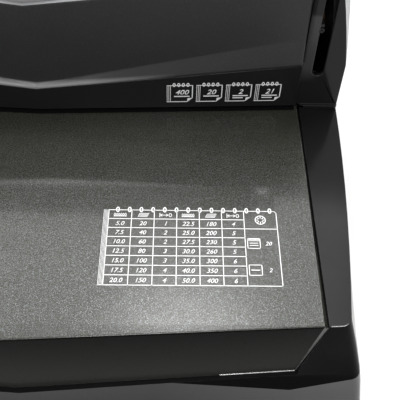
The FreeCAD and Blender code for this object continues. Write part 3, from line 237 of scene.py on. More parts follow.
def makePowderCoat(name, front=False):
    level = (shadedFrontCoat if front else powderCoat)["specular"]
    material, tree, shader, place = newFinish(name, IOR=powderCoat["ior"], Specular_IOR_Level=level)
    lumps = addNode(tree, "TexNoise", {"Vector": place, "Scale": 1 / powderCoat["orangePeel"],
                                       "Roughness": 0.7})
    if front:
        height = addNode(tree, "SeparateXYZ", [place], "Z")
        shade = addNode(tree, "MapRange", [height, *shadedFrontCoat["height"], 0, 1])
        layers = [shadedFrontCoat["top"], (shade, shadedFrontCoat["foot"])]
    else:
        shader.inputs["Coat Weight"].default_value = powderCoat["veil"]
        shader.inputs["Coat Roughness"].default_value = powderCoat["veilRoughness"]
        cloud = addNode(tree, "TexNoise", {"Vector": place, "Scale": 1 / powderCoat["cloud"], "Detail": 3.0,
                                           "Roughness": 0.6})
        tone = [addNode(tree, "MapRange", [lumps, 0.36, 0.64, 0, 0.8]),
                addNode(tree, "MapRange", [cloud, 0.3, 0.7, 0, 0.2])]
        flakes = addNode(tree, "TexNoise", {"Vector": place, "Scale": 1 / powderCoat["flakeSize"],
                                            "Detail": 0.0, "Roughness": 0.6})
        flakes = addNode(tree, "MapRange", [flakes, 0.5, 0.78, 0, 1])
        metal = addNode(tree, "Math", [flakes, powderCoat["flakeMetal"]], operation="MULTIPLY")
        tree.links.new(metal, shader.inputs["Metallic"])
        layers = [powderCoat["dark"], (addNode(tree, "Math", tone, operation="ADD"), powderCoat["light"]),
                  (flakes, powderCoat["flake"])]
    scuff = addNode(tree, "TexNoise", {"Vector": place, "Scale": 1 / powderCoat["scuff"], "Detail": 3.0})
    scuff = addNode(tree, "MapRange", [scuff, 0.4, 0.7, 0.1, 0.7])
    layers.append((wornEdges(tree, powderCoat["edge"], scuff), powderCoat["worn"]))
    rough = addNode(tree, "MapRange", [lumps, 0.36, 0.64, *powderCoat["roughness"]])
    dressFinish(tree, shader, layers, rough, Height=lumps, Strength=0.4, Distance=powderCoat["peelDepth"])
    return material


# plastics and paints with a fine grain: two close tones, then the colour of the rubbed edges; grit is the
# grain's size in mm, drawn coarser than the real one, so that it shows
grainFinish = {"ior": 1.5, "gritDepth": 0.04 * mm, "scuff": 4 * mm, "edge": 0.5 * mm}
grainFinishes = {
    # satin enamel, sprayed and baked on sheet steel: smooth, with a tight soft mirror of the lamps
    "deck_paint": {"name": "deckSatinEnamel", "colours": ("2b2b2c", "3a3a3b", "8b8b8a"),
                   "roughness": (0.19, 0.32), "grit": 0.7, "specular": 0.9},
    # ABS from an eroded mould: matt black with a faint grain
    "matte_black": {"name": "mattBlackAbs", "colours": ("1d1d1e", "2a2a2b", "5c5c5c"),
                    "roughness": (0.45, 0.58), "grit": 0.4, "specular": 0.3},
    # soft-touch rubber-like coat on foam: dull, a little dusty
    "grip_plastic": {"name": "softTouchGrip", "colours": ("222223", "303031", "4c4c4c"),
                     "roughness": (0.55, 0.68), "grit": 0.5, "specular": 0.3},
    # satin enamel on the flat arms, chipped bright along the edges
    "arm_paint": {"name": "armSatinEnamel", "colours": ("161617", "202021", "8a8a88"),
                  "roughness": (0.29, 0.42), "grit": 0.7, "specular": 0.3},
    # painted shade: a near-black matt strip for the shade in the throat
    "throat": {"name": "blackThroatPaintedShade", "colours": ("070707", "101010", "1a1a1a"),
               "roughness": (0.85, 0.98), "grit": 0.5, "specular": 0.05},
    # painted highlight: flat grey on the strips along the apron's slanted ends
    "fold": {"name": "apronEndHighlightGrey", "colours": ("4b4b4a", "565655", "6e6e6d"),
             "roughness": (0.40, 0.53), "grit": 0.6, "specular": 0.3},
    # painted highlight: pale grey, a little chalky, on the deck's front edge
    "paleEdgeHighlight": {"name": "greyEdgePaintedHighlight", "colours": ("8f8f8f", "9d9d9d", "b0b0b0"),
                "roughness": (0.35, 0.48), "grit": 0.6, "specular": 0.3},
    # painted highlight: grey on the hood panel's upward faces at its top
    "panelTopHighlight": {"name": "panelTopPaintedHighlight", "colours": ("7d7d7e", "88888a", "969696"),
                 "roughness": (0.35, 0.48), "grit": 0.6, "specular": 0.3},
}


def makeGrainFinish(settings):
    material, tree, shader, place = newFinish(
        settings["name"], IOR=grainFinish["ior"], Specular_IOR_Level=settings["specular"])
    grit = addNode(tree, "TexNoise", {"Vector": place, "Scale": 1 / (settings["grit"] * mm), "Roughness": 0.6})
    scuff = addNode(tree, "TexNoise", {"Vector": place, "Scale": 1 / grainFinish["scuff"], "Detail": 3.0})
    scuff = addNode(tree, "MapRange", [scuff, 0.4, 0.7, 0, 0.7])
    colour, light, worn = settings["colours"]
    layers = [colour, (addNode(tree, "MapRange", [grit, 0.4, 0.7, 0, 1]), light),
              (wornEdges(tree, grainFinish["edge"], scuff), worn)]
    rough = addNode(tree, "MapRange", [grit, 0.3, 0.7, *settings["roughness"]])
    dressFinish(tree, shader, layers, rough, Height=grit, Strength=0.4, Distance=grainFinish["gritDepth"])
    return material


# metals: two tones of one colour in clouds, then the colour of the rubbed edges; brush is the size in mm of
# the marks that the making left, drawn coarser than the real ones, so that they show, and stretch shrinks them
# along an axis or draws them out
metalFinish = {"cloud": 12 * mm, "markDepth": 0.01 * mm, "edge": 0.4 * mm}
metalFinishes = {
    # zinc-plated sheet: pale and faintly mottled
    "zinc_sheet": {"name": "zincPlatedSheet", "colours": ("b9bab8", "9fa1a0", "d5d5d2"),
                   "roughness": (0.24, 0.42), "brush": 3, "stretch": (1, 1, 1)},
    # nickelled screws: warm bright grey
    "screw_steel": {"name": "nickelledScrewSteel", "colours": ("a7a8a6", "8b8c8b", "cfcfcc"),
                    "roughness": (0.20, 0.38), "brush": 0.5, "stretch": (1, 1, 1)},
    # ground tool steel: cool grey with fine lines across
    "tool_steel": {"name": "groundToolSteel", "colours": ("8f9193", "7a7c7e", "c4c6c8"),
                   "roughness": (0.22, 0.40), "brush": 0.4, "stretch": (8, 1, 1)},
    # bright rolled spring steel: light, with marks along the fingers
    "bright_steel": {"name": "brightSpringSteel", "colours": ("b4b5b6", "9a9b9d", "dcdcdc"),
                     "roughness": (0.14, 0.32), "brush": 0.4, "stretch": (1, 1, 0.1)},
    # sintered bronze with oil, drawn near black as painted shade where it shows in the lever slots
    "bronze": {"name": "darkBronzeSlotShade", "colours": ("3d3122", "2c2419", "6a5639"),
               "roughness": (0.42, 0.60), "brush": 0.4, "stretch": (1, 1, 1)},
    # drawn tube with satin nickel: soft long highlights
    "chrome": {"name": "satinNickelTube", "colours": ("96979a", "828386", "bcbcbe"),
               "roughness": (0.22, 0.40), "brush": 2, "stretch": (0.1, 1, 1)},
    # coiled spring steel under a film of oil: dark grey
    "spring_steel": {"name": "oiledSpringSteel", "colours": ("7d7d7c", "636362", "a5a5a3"),
                     "roughness": (0.22, 0.40), "brush": 0.5, "stretch": (1, 1, 1)},
    # blackened screws in the lever slots: dark, with a dull shine
    "blackScrew": {"name": "blackenedScrewSteel", "colours": ("3a3a3b", "2c2c2d", "5f5f60"),
                   "roughness": (0.32, 0.50), "brush": 0.5, "stretch": (1, 1, 1)},
    # zinc with a black passivation on the side frames, drawn dark as painted shade inside the lever slots
    "slotShadeZinc": {"name": "blackZincSlotShade", "colours": ("262627", "1c1c1d", "4a4a4b"),
                  "roughness": (0.34, 0.52), "brush": 3, "stretch": (1, 1, 1)},
}


def makeMetal(settings):
    material, tree, shader, place = newFinish(settings["name"], Metallic=1.0)
    drawn = addNode(tree, "Mapping", {"Vector": place, "Scale": settings["stretch"]})
    marks = addNode(tree, "TexNoise", {"Vector": drawn, "Scale": 1 / (settings["brush"] * mm), "Detail": 3.0,
                                       "Roughness": 0.6})
    cloud = addNode(tree, "TexNoise", {"Vector": place, "Scale": 1 / metalFinish["cloud"], "Detail": 3.0,
                                       "Roughness": 0.6})
    wear = addNode(tree, "MapRange", [cloud, 0.4, 0.7, 0.2, 0.8])
    colour, dull, worn = settings["colours"]
    layers = [colour, (addNode(tree, "MapRange", [cloud, 0.35, 0.7, 0, 0.8]), dull),
              (wornEdges(tree, metalFinish["edge"], wear), worn)]
    rough = addNode(tree, "MapRange", [marks, 0.3, 0.7, *settings["roughness"]])
    dressFinish(tree, shader, layers, rough, Height=marks, Strength=0.3, Distance=metalFinish["markDepth"])
    return material


# moulded rubber: near black and matt, with a chalky bloom in patches
rubber = {"colour": "161616", "bloom": "3d3c3a", "ior": 1.52, "roughness": (0.7, 0.9),
          "bloomSize": 3 * mm, "grain": 0.5 * mm, "grainDepth": 0.05 * mm}


def makeRubber():
    material, tree, shader, place = newFinish("mouldedRubber", IOR=rubber["ior"])
    bloom = addNode(tree, "TexNoise", {"Vector": place, "Scale": 1 / rubber["bloomSize"], "Detail": 4.0,
                                       "Roughness": 0.7})
    grain = addNode(tree, "TexNoise", {"Vector": place, "Scale": 1 / rubber["grain"]})
    layers = [rubber["colour"], (addNode(tree, "MapRange", [bloom, 0.45, 0.75, 0, 0.6]), rubber["bloom"])]
    rough = addNode(tree, "MapRange", [bloom, 0.3, 0.7, *rubber["roughness"]])
    dressFinish(tree, shader, layers, rough, Height=grain, Strength=0.5, Distance=rubber["grainDepth"])
    return material


# screen-printed ink: opaque white, with pinholes where the coat's lumps show through, drawn coarser than real
# ones, so that they show
inkFinish = {"colour": "fafafa", "pinhole": "a8a8a6", "ior": 1.5, "roughness": (0.45, 0.6),
             "pinholeSize": 0.5 * mm, "pinholeDepth": 0.5}


def makeInk():
    material, tree, shader, place = newFinish("screenPrintInk", IOR=inkFinish["ior"])
    pins = addNode(tree, "TexNoise", {"Vector": place, "Scale": 1 / inkFinish["pinholeSize"],
                                      "Roughness": 0.6})
    pins = addNode(tree, "MapRange", [pins, 0.62, 0.72, 0, inkFinish["pinholeDepth"]])
    rough = addNode(tree, "MapRange", [pins, 0, inkFinish["pinholeDepth"], *inkFinish["roughness"]])
    dressFinish(tree, shader, [inkFinish["colour"], (pins, inkFinish["pinhole"])], rough)
    return material


finishes = {"satin_panel": makeSatinAbs(), "rubber": makeRubber(), "ink": makeInk(),
            "table_paint": makePowderCoat("texturedPowderCoat"),
            "shadedFrontCoat": makePowderCoat("texturedPowderCoatShadedFront", front=True)}
finishes.update({key: makeGlossAbs(**kind) for key, kind in glossKinds.items()})
finishes.update({key: makeGrainFinish(settings) for key, settings in grainFinishes.items()})
finishes.update({key: makeMetal(settings) for key, settings in metalFinishes.items()})

# pieces whose finish isn't the one of their slot
ownFinish = {"slot_screws": "blackScrew", "side_frame_left": "slotShadeZinc", "side_frame_right": "slotShadeZinc"}
slotOf = {part["node"]: part["material_slot"] for part in frame["record"]["subparts"]}
bodyOf = {name: node["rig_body"] for name, node in nodes.items()}
print("finishes made,", len(finishes))

# pieces that stand for CAD nodes: edge radius in mm, segments, and the least angle in degrees of an edge
roundedEdges = {
    "base_shell": (0.7, 3, 30),
    "upper_housing": (0.6, 5, 30),
    "hood_panel": (0.5, 3, 60),
    "document_table": (0.25, 2, 30),
    "rear_cover": (0.5, 2, 30),
    "top_deck": (0.25, 2, 30),
    "chip_drawer": (0.5, 2, 35),
    "edge_guide": (0.35, 2, 30),
    "comb_lever": (0.5, 2, 40),
    "handle_arm_left": (0.5, 2, 40),
    "handle_arm_right": (0.5, 2, 40),
    "side_frame_left": (0.2, 2, 40),
    "side_frame_right": (0.2, 2, 40),
    "comb_fingers": (0.2, 2, 40),
    "opener_hooks": (0.2, 2, 40),
    "bottom_plate": (0.2, 1, 40),
}
# the housing's own edges in mm: rounder where the caps turn to the middle, nearly sharp along the skirt
housingEdges = {"inner": 149.0, "outer": 152.0, "above": 96.0, "capRadius": 2.4, "skirtRadius": 0.25}
# the finish of the faces that look to the front, and how far their normal has to point there; these finishes
# carry painted shade, a painted reflection or a painted highlight
frontFaces = {"base_shell": ("shadedFrontGloss", -0.2), "document_table": ("shadedFrontCoat", -0.6),
              "upper_housing": ("uprightGloss", -0.95), "top_deck": ("paleEdgeHighlight", -0.6)}
panelTop = {"height": 145 * mm, "tilt": 0.9}      # the hood panel's upward faces near its top, which take a painted highlight
# the line where the shell turns in towards its foot: a flat V on each side, in mm
footLine = {"turn": 142.0, "low": 17.0, "inner": 0.15, "outer": 0.20, "past": 20.0, "facing": -0.3}
# how a copied mesh is cleaned: merge distance in metres, then angles in degrees
cleanUp = {"merge": 2e-6, "flat": 0.4, "sharp": 35}


def edgeRadius(nodeName, ends, radius):
    # ends are an edge's two corners in mm
    if nodeName != "upper_housing" or any(abs(end.x) >= housingEdges["outer"] for end in ends):
        return radius
    atCap = all(abs(end.x) > housingEdges["inner"] and end.z > housingEdges["above"] for end in ends)
    return housingEdges["capRadius" if atCap else "skirtRadius"]


def markEdges(mesh, nodeName, radius, angle):
    # a bevel weight for each real edge, and the widest radius, in mm
    widest = housingEdges["capRadius"] if nodeName == "upper_housing" else radius
    weight = mesh.attributes.new("bevel_weight_edge", "FLOAT", "EDGE")
    work = bmesh.new()
    work.from_mesh(mesh)
    work.edges.ensure_lookup_table()
    for edge in work.edges:
        if len(edge.link_faces) == 2 and edge.calc_face_angle() > math.radians(angle):
            ends = [vert.co / mm for vert in edge.verts]
            weight.data[edge.index].value = edgeRadius(nodeName, ends, radius) / widest
    work.free()
    return widest


def footHeight(x):
    side = abs(x / mm) - footLine["turn"]
    return (footLine["low"] + max(-footLine["inner"] * side, footLine["outer"] * side)) * mm


def splitFoot(work):
    # cuts the front faces along both arms of the V, so that the foot can take a finish of its own, with a
    # painted reflection
    for side in (1, -1):
        for slope in (-footLine["inner"], footLine["outer"]):
            faces = [face for face in work.faces if face.normal.y < footLine["facing"]
                     and side * face.calc_center_median().x > -footLine["past"] * mm]
            geometry = set(faces)
            for face in faces:
                geometry.update(face.edges)
                geometry.update(face.verts)
            bmesh.ops.bisect_plane(work, geom=list(geometry), plane_no=(-side * slope, 0, 1),
                                   plane_co=(side * footLine["turn"] * mm, 0, footLine["low"] * mm))


def paintFaces(mesh, nodeName):
    # the slot's finish first, then those of the front, the foot and the panel's upper edge, which carry painted
    # shade, reflection or highlight
    mesh.materials.clear()
    mesh.materials.append(finishes[ownFinish.get(nodeName, slotOf[nodeName])])
    if nodeName in frontFaces:
        front, tilt = frontFaces[nodeName]
        mesh.materials.append(finishes[front])
        for face in mesh.polygons:
            if face.normal.y < tilt:
                face.material_index = 1
    if nodeName == "base_shell":
        mesh.materials.append(finishes["footGloss"])
        for face in mesh.polygons:
            if face.material_index == 1 and face.center.z < footHeight(face.center.x):
                face.material_index = 2
    if nodeName == "hood_panel":
        mesh.materials.append(finishes["panelTopHighlight"])
        for face in mesh.polygons:
            if face.normal.z > panelTop["tilt"] and face.center.z > panelTop["height"]:
                face.material_index = 1


def soften(nodeName):
    radius, segments, angle = roundedEdges[nodeName]
    mesh = nodes[nodeName].data.copy()
    mesh.name = nodeName + "Rounded"
    layer = mesh.attributes.get("custom_normal")
    if layer:
        mesh.attributes.remove(layer)
    work = bmesh.new()
    work.from_mesh(mesh)
    bmesh.ops.remove_doubles(work, verts=work.verts, dist=cleanUp["merge"])
    bmesh.ops.dissolve_limit(work, angle_limit=math.radians(cleanUp["flat"]), verts=work.verts,
                             edges=work.edges)
    if nodeName == "base_shell":
        splitFoot(work)
    work.to_mesh(mesh)
    work.free()
    for face in mesh.polygons:
        face.use_smooth = True
    mesh.set_sharp_from_angle(angle=math.radians(cleanUp["sharp"]))
    widest = markEdges(mesh, nodeName, radius, angle)
    piece = bpy.data.objects.new(nodeName + "Rounded", mesh)
    bpy.context.scene.collection.objects.link(piece)
    bevel = piece.modifiers.new("edgeRadius", "BEVEL")
    bevel.width = widest * mm
    bevel.segments = segments
    bevel.use_clamp_overlap = nodeName != "upper_housing"
    bevel.limit_method = "WEIGHT"
    bevel.harden_normals = True
    bevel.miter_outer = "MITER_ARC"
    paintFaces(mesh, nodeName)
    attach(piece, bodyOf[nodeName])
    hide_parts(nodeName)


for nodeName in roundedEdges:
    soften(nodeName)
print("rounded pieces made,", len(roundedEdges))

# the other nodes stay as they are, with a finish each
for nodeName, node in nodes.items():
    if nodeName not in roundedEdges:
        node.data.materials.clear()
        node.data.materials.append(finishes[ownFinish.get(nodeName, slotOf[nodeName])])

# prints are thin films of ink, drawn flat in millimetres and then laid on their surface
inkFilm = {"thickness": 0.03, "lift": 0.02, "digitShare": 0.70, "slant": 0.28, "weight": 0.02}


def inkPatch(film, points):
    film.faces.new([film.verts.new((x, y, 0)) for x, y in points])


def inkLine(film, start, end, width):
    start, end = Vector(start), Vector(end)
    side = (end - start).normalized().orthogonal() * width / 2
    along = (end - start).normalized() * width / 2
    inkPatch(film, [start - along - side, end + along - side, end + along + side, start - along + side])


def inkPath(film, points, width):
    for start, end in zip(points, points[1:]):
        inkLine(film, start, end, width)


def inkRing(film, middle, halfWidth, halfHeight, width, steps=20):
    turns = [2 * math.pi * step / steps for step in range(steps)]
    outer = [film.verts.new((middle[0] + halfWidth * math.cos(t), middle[1] + halfHeight * math.sin(t), 0))
             for t in turns]
    inner = [film.verts.new((middle[0] + (halfWidth - width) * math.cos(t),
                             middle[1] + (halfHeight - width) * math.sin(t), 0)) for t in turns]
    for i in range(steps):
        film.faces.new([outer[i], outer[(i + 1) % steps], inner[(i + 1) % steps], inner[i]])


def inkNumber(film, digits, middle, height):
    curve = bpy.data.curves.new("digits", "FONT")
    curve.body = digits
    curve.size = height / inkFilm["digitShare"]       # digits take this share of the font's size
    curve.shear = inkFilm["slant"]
    curve.offset = inkFilm["weight"] * height
    curve.align_x = "CENTER"
    curve.resolution_u = 3
    holder = bpy.data.objects.new("digits", curve)
    bpy.context.scene.collection.objects.link(holder)
    bpy.context.view_layer.update()
    mesh = bpy.data.meshes.new_from_object(holder)
    mesh.transform(Matrix.Translation((middle[0], middle[1] - height / 2, 0)))
    film.from_mesh(mesh)
    bpy.data.objects.remove(holder)
    bpy.data.curves.remove(curve)
    bpy.data.meshes.remove(mesh)


def layFilm(film, name, toSurface, body):
    # toSurface takes millimetres on the print to metres in the frame; the film gets its thickness here
    film.normal_update()
    for face in film.faces:
        if face.normal.z < 0:
            face.normal_flip()
    bmesh.ops.solidify(film, geom=film.faces[:], thickness=inkFilm["thickness"])
    mesh = bpy.data.meshes.new(name)
    film.to_mesh(mesh)
    film.free()
    mesh.transform(toSurface)
    piece = bpy.data.objects.new(name, mesh)
    bpy.context.scene.collection.objects.link(piece)
    mesh.materials.append(finishes["ink"])
    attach(piece, body)


# the size chart on the table, drawn as a ring-bound sheet; all in mm, with x and y as in the frame
sizeChart = {
    "columns": [45.0, 57.0, 68.8, 80.6, 92.4, 104.1, 115.8, 133.0], "top": -57.5, "rowHeight": 5.7, "rows": 8,
    "line": 0.42, "cutCorner": 1.0, "digit": 2.55, "headerDrop": 0.3,
    "pages": 4, "pageStep": 0.62, "pageLine": 0.22, "pageFoot": 2.6,
    "rings": 14, "firstRing": 49.6, "ringPitch": 6.16, "ringSize": (1.05, 1.75, 0.62), "ringRise": 0.3,
    "combs": [[5.0, 7.5, 10.0, 12.5, 15.0, 17.5, 20.0], [22.5, 25.0, 27.5, 30.0, 35.0, 40.0, 50.0]],
    "sheets": [[20, 40, 60, 80, 100, 120, 150], [180, 200, 230, 260, 300, 350, 400]],
    "margins": [[1, 2, 2, 3, 3, 4, 4], [4, 5, 5, 5, 6, 6, 6]],
}
# the signs in the chart's last column: a plain dial, then two squares with a number beside each
chartSigns = {"dial": 2.9, "dialLine": 0.45, "ticks": 8, "tick": (1.3, 2.0),
              "squares": ((3.6, "20"), (6.4, "2")), "squareInset": 4.4, "square": (3.2, 3.0),
              "numberOffset": 7.4, "digit": 2.3}


def combSign(film, x, y):
    # a comb seen from the side: a back with curled teeth
    inkLine(film, (x - 3.2, y - 0.9), (x + 3.2, y - 0.9), 0.35)
    for step in range(6):
        inkRing(film, (x - 2.8 + step * 1.12, y + 0.1), 0.5, 1.0, 0.28, 10)


def sheetSign(film, x, y):
    # a stack of sheets
    for step in range(4):
        left, height = x - 2.6 + step * 0.3, y - 1.1 + step * 0.7
        inkLine(film, (left, height), (left + 4.8, height), 0.3)
    inkLine(film, (x - 2.6, y - 1.1), (x - 1.7, y + 1.0), 0.3)


def marginSign(film, x, y):
    # the distance from an edge to a hole
    inkLine(film, (x - 3.0, y - 1.2), (x - 3.0, y + 1.2), 0.35)
    inkLine(film, (x - 2.6, y), (x + 1.2, y), 0.3)
    inkPath(film, [(x - 1.8, y + 0.7), (x - 2.7, y), (x - 1.8, y - 0.7)], 0.3)
    inkPath(film, [(x + 0.4, y + 0.7), (x + 1.3, y), (x + 0.4, y - 0.7)], 0.3)
    inkRing(film, (x + 2.5, y), 0.9, 1.2, 0.35, 12)


def drawChartFrame(film, low):
    columns, line, rowHeight, top = (sizeChart[key] for key in ("columns", "line", "rowHeight", "top"))
    left, right, lastSplit, cut = columns[0], columns[-1], columns[-2], sizeChart["cutCorner"]
    for x in columns[:-1]:
        inkLine(film, (x, top), (x, low), line)
    inkPath(film, [(left, top), (right - cut, top), (right, top - cut), (right, low), (left, low)], line)
    for row in range(1, sizeChart["rows"]):
        inkLine(film, (left, top - row * rowHeight), (lastSplit, top - row * rowHeight), line)
    inkLine(film, (lastSplit, top - 2 * rowHeight), (right, top - 2 * rowHeight), line)
    for page in range(1, sizeChart["pages"] + 1):     # the stack of pages at the left edge
        x = left - sizeChart["pageStep"] * page
        inkLine(film, (x, top), (x, low), sizeChart["pageLine"])
    inkLine(film, (left - sizeChart["pageFoot"], low), (left, low), line)
    for ring in range(sizeChart["rings"]):
        x = sizeChart["firstRing"] + ring * sizeChart["ringPitch"]
        inkRing(film, (x, top + sizeChart["ringRise"]), *sizeChart["ringSize"], 14)


def drawChartNumbers(film):
    columns, rowHeight, top, digit = (sizeChart[key] for key in ("columns", "rowHeight", "top", "digit"))
    for half in (0, 1):
        middles = [(columns[3 * half + i] + columns[3 * half + i + 1]) / 2 for i in range(3)]
        header = top - rowHeight / 2 - sizeChart["headerDrop"]
        combSign(film, middles[0], header)
        sheetSign(film, middles[1], header)
        marginSign(film, middles[2], header)
        for row in range(7):
            y = top - (row + 1.5) * rowHeight
            inkNumber(film, "%.1f" % sizeChart["combs"][half][row], (middles[0], y), digit)
            inkNumber(film, str(sizeChart["sheets"][half][row]), (middles[1], y), digit)
            inkNumber(film, str(sizeChart["margins"][half][row]), (middles[2], y), digit)


def drawChartSigns(film):
    rowHeight, top, split = sizeChart["rowHeight"], sizeChart["top"], sizeChart["columns"][-2]
    centre = Vector(((split + sizeChart["columns"][-1]) / 2, top - rowHeight))
    inkRing(film, centre, chartSigns["dial"], chartSigns["dial"], chartSigns["dialLine"], 28)
    for step in range(chartSigns["ticks"]):
        angle = 2 * math.pi * step / chartSigns["ticks"]
        turn = Vector((math.cos(angle), math.sin(angle)))
        inkLine(film, centre + turn * chartSigns["tick"][0], centre + turn * chartSigns["tick"][1],
                chartSigns["dialLine"])
    halfWidth, halfHeight = chartSigns["square"]
    x = split + chartSigns["squareInset"]
    for row, number in chartSigns["squares"]:
        y = top - row * rowHeight
        inkPath(film, [(x - halfWidth, y - halfHeight), (x + halfWidth, y - halfHeight),
                       (x + halfWidth, y + halfHeight), (x - halfWidth, y + halfHeight),
                       (x - halfWidth, y - halfHeight)], sizeChart["line"])
        inkNumber(film, number, (x + chartSigns["numberOffset"], y), chartSigns["digit"])
    first, second = (top - row * rowHeight for row, _ in chartSigns["squares"])
    for step in range(3):             # the first square shows a stack, the second a single sheet
        inkLine(film, (split + 1.2, first + 2.6 - step * 0.5), (split + 7.4, first + 2.6 - step * 0.5), 0.25)
    for step in range(2):
        inkLine(film, (split + 2.4, first + 0.2 - step * 1.4), (split + 6.4, first + 0.2 - step * 1.4), 0.4)
    inkLine(film, (split + 2.4, second), (split + 6.4, second), 0.5)


def drawChart():
    film = bmesh.new()
    drawChartFrame(film, sizeChart["top"] - sizeChart["rowHeight"] * sizeChart["rows"])
    drawChartNumbers(film)
    drawChartSigns(film)
    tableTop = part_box("document_table")[1].z
    place = Matrix.Translation((0, 0, tableTop + inkFilm["lift"] * mm)) @ Matrix.Scale(mm, 4)
    layFilm(film, "sizeChartPrint", place, "machine")


# four small notepads on the skirt, in mm from the middle and from the table's top; slope is how much the skirt
# runs back per mm
notepads = {"first": 74.2, "pitch": 17.1, "bottom": 7.0, "width": 14.6, "height": 14.6, "head": 2.0,
            "line": 0.55, "fold": 3.0, "pageStep": 0.95, "pageLine": 0.3, "spine": 2.8, "ringStart": 4.0,
            "ringPitch": 2.65, "ringSize": (0.95, 1.5, 0.62), "ringRise": 0.5, "digit": 3.6,
            "numbers": ["400", "20", "2", "21"], "slope": 0.0439}


def drawNotepads():
    film = bmesh.new()
    line, fold, spine = notepads["line"], notepads["fold"], notepads["spine"]
    for index, number in enumerate(notepads["numbers"]):
        left, low = notepads["first"] + index * notepads["pitch"], notepads["bottom"]
        right, top = left + notepads["width"], low + notepads["height"] - notepads["head"]
        for page in range(3):         # edges of the pages
            x = left + page * notepads["pageStep"]
            inkLine(film, (x, low), (x, top), notepads["pageLine"])
        outline = [(left + spine, top), (right, top), (right, low + fold), (right - fold, low), (left, low)]
        inkPath(film, outline, line)
        inkLine(film, (left, top), (left + spine, top), line)
        inkPatch(film, [(right - fold, low), (right, low + fold), (right - fold + 0.3, low + fold - 0.3)])
        for ring in range(4):
            x = left + notepads["ringStart"] + ring * notepads["ringPitch"]
            inkRing(film, (x, top + notepads["ringRise"]), *notepads["ringSize"], 12)
        inkNumber(film, number, (left + 8.4, low + 7.4), notepads["digit"])
        inkLine(film, (left + 4.4, low + 4.2), (left + 12.6, low + 4.2), 0.8)
        if index > 1:
            inkLine(film, (left + 4.4, low + 2.5), (left + 9.8, low + 2.5), 0.7)
    turn = math.atan(notepads["slope"])
    across = Vector((math.cos(turn), math.sin(turn), 0))
    up = Vector((0, 0, 1))
    out = across.cross(up)
    corner = Vector((0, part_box("upper_housing")[0].y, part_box("document_table")[1].z))
    turned = Matrix((across, up, out)).transposed().to_4x4()
    place = Matrix.Translation(corner + out * inkFilm["lift"] * mm) @ turned @ Matrix.Scale(mm, 4)
    layFilm(film, "notepadPrint", place, "machine")


drawChart()
drawNotepads()
print("printing laid on")

# the folds along the table's sides and the apron's ends: a finish, then the inner and outer points of a strip,
# in mm, as x and y on the right half and the drop below the table's top
tableFolds = {
    "tableSideFold": ("table_paint", [((151.8, 10.0, 0.3), (152.9, 10.0, 2.4)),
                                      ((151.8, -78.8, 0.3), (152.9, -78.8, 2.4)),
                                      ((150.9, -125.3, 0.3), (152.9, -125.3, 2.4))]),
    # painted highlight: grey strips along the apron's slanted ends
    "apronEndHighlight": ("fold", [((150.9, -125.2, 0.6), (152.9, -125.0, 0.9)),
                              ((143.5, -125.5, 48.0), (144.1, -125.3, 48.1))]),
}
# strips that follow the flat V of the hood, in mm: half their length, how much they run back per mm, and their
# two edges as y in the middle and height over the named node
hoodStrips = {
    # painted shade: a matt near-black strip on the table just under the skirt, where the sheets go in
    "throatLining": {"over": "document_table", "finish": "throat", "half": 150.0, "slope": 0.0439,
                     "edges": ((12.1, 0.27), (22.5, 0.27))},
    # painted highlight: a grey strip in the narrow gap between the hood panel and the deck's front edge
    "deckGapHighlight": {"over": "top_deck", "finish": "paleEdgeHighlight", "half": 149.0, "slope": 0.0439,
                 "edges": ((22.58, -4.5), (22.58, -0.1))},
}
# the sheet's bare cut edge along the foot of the apron, drawn only near the corners
apronBead = {"from": 104.0, "until": 143.2, "corner": 143.5, "radius": 0.4, "frontY": -133.0, "slope": 0.0508,
             "middleDrop": 54.0, "rise": 6.0, "lift": 0.4}
stripUnder = (0, 0.12, -0.25)     # from a strip's face to its underside, in mm


def stripPiece(name, rails, finish):
    # a closed strip through pairs of points, inner and outer
    work = bmesh.new()
    rows = []
    for inner, outer in rails:
        inner, outer, under = Vector(inner), Vector(outer), Vector(stripUnder)
        rows.append([work.verts.new(point * mm) for point in (inner, outer, outer + under, inner + under)])
    for first, second in zip(rows, rows[1:]):
        for i in range(4):
            work.faces.new([first[i], first[(i + 1) % 4], second[(i + 1) % 4], second[i]])
    work.faces.new(rows[0])
    work.faces.new(rows[-1])
    bmesh.ops.recalc_face_normals(work, faces=work.faces)
    mesh = bpy.data.meshes.new(name)
    work.to_mesh(mesh)
    work.free()
    mesh.materials.append(finishes[finish])
    piece = bpy.data.objects.new(name, mesh)
    bpy.context.scene.collection.objects.link(piece)
    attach(piece, "machine")


def makeTableFolds(top):
    for side, label in ((1, "Right"), (-1, "Left")):
        for name, (finish, rails) in tableFolds.items():
            stripPiece(name + label, [[(side * x, y, top - drop) for x, y, drop in pair] for pair in rails],
                       finish)


def makeApronBead(top):
    curve = bpy.data.curves.new("apronBead", "CURVE")
    curve.dimensions = "3D"
    curve.bevel_depth = apronBead["radius"] * mm
    curve.bevel_resolution = 3
    curve.use_fill_caps = True
    for side in (-1, 1):
        line = curve.splines.new("POLY")
        line.points.add(1)
        for point, x in zip(line.points, (apronBead["from"], apronBead["until"])):
            y = apronBead["frontY"] + apronBead["slope"] * x
            drop = apronBead["middleDrop"] - apronBead["rise"] * x / apronBead["corner"]
            point.co = (side * x * mm, y * mm, (top - drop + apronBead["lift"]) * mm, 1)
    bead = bpy.data.objects.new("apronBead", curve)
    bpy.context.scene.collection.objects.link(bead)
    curve.materials.append(finishes["screw_steel"])
    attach(bead, "machine")


def makeHoodStrip(name, strip):
    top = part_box(strip["over"])[1].z / mm
    rails = [[(x, y + strip["slope"] * abs(x), top + height) for y, height in strip["edges"]]
             for x in (-strip["half"], 0.0, strip["half"])]
    stripPiece(name, rails, strip["finish"])


makeTableFolds(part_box("document_table")[1].z / mm)
makeApronBead(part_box("document_table")[1].z / mm)
for name, strip in hoodStrips.items():
    makeHoodStrip(name, strip)
print("trims made")

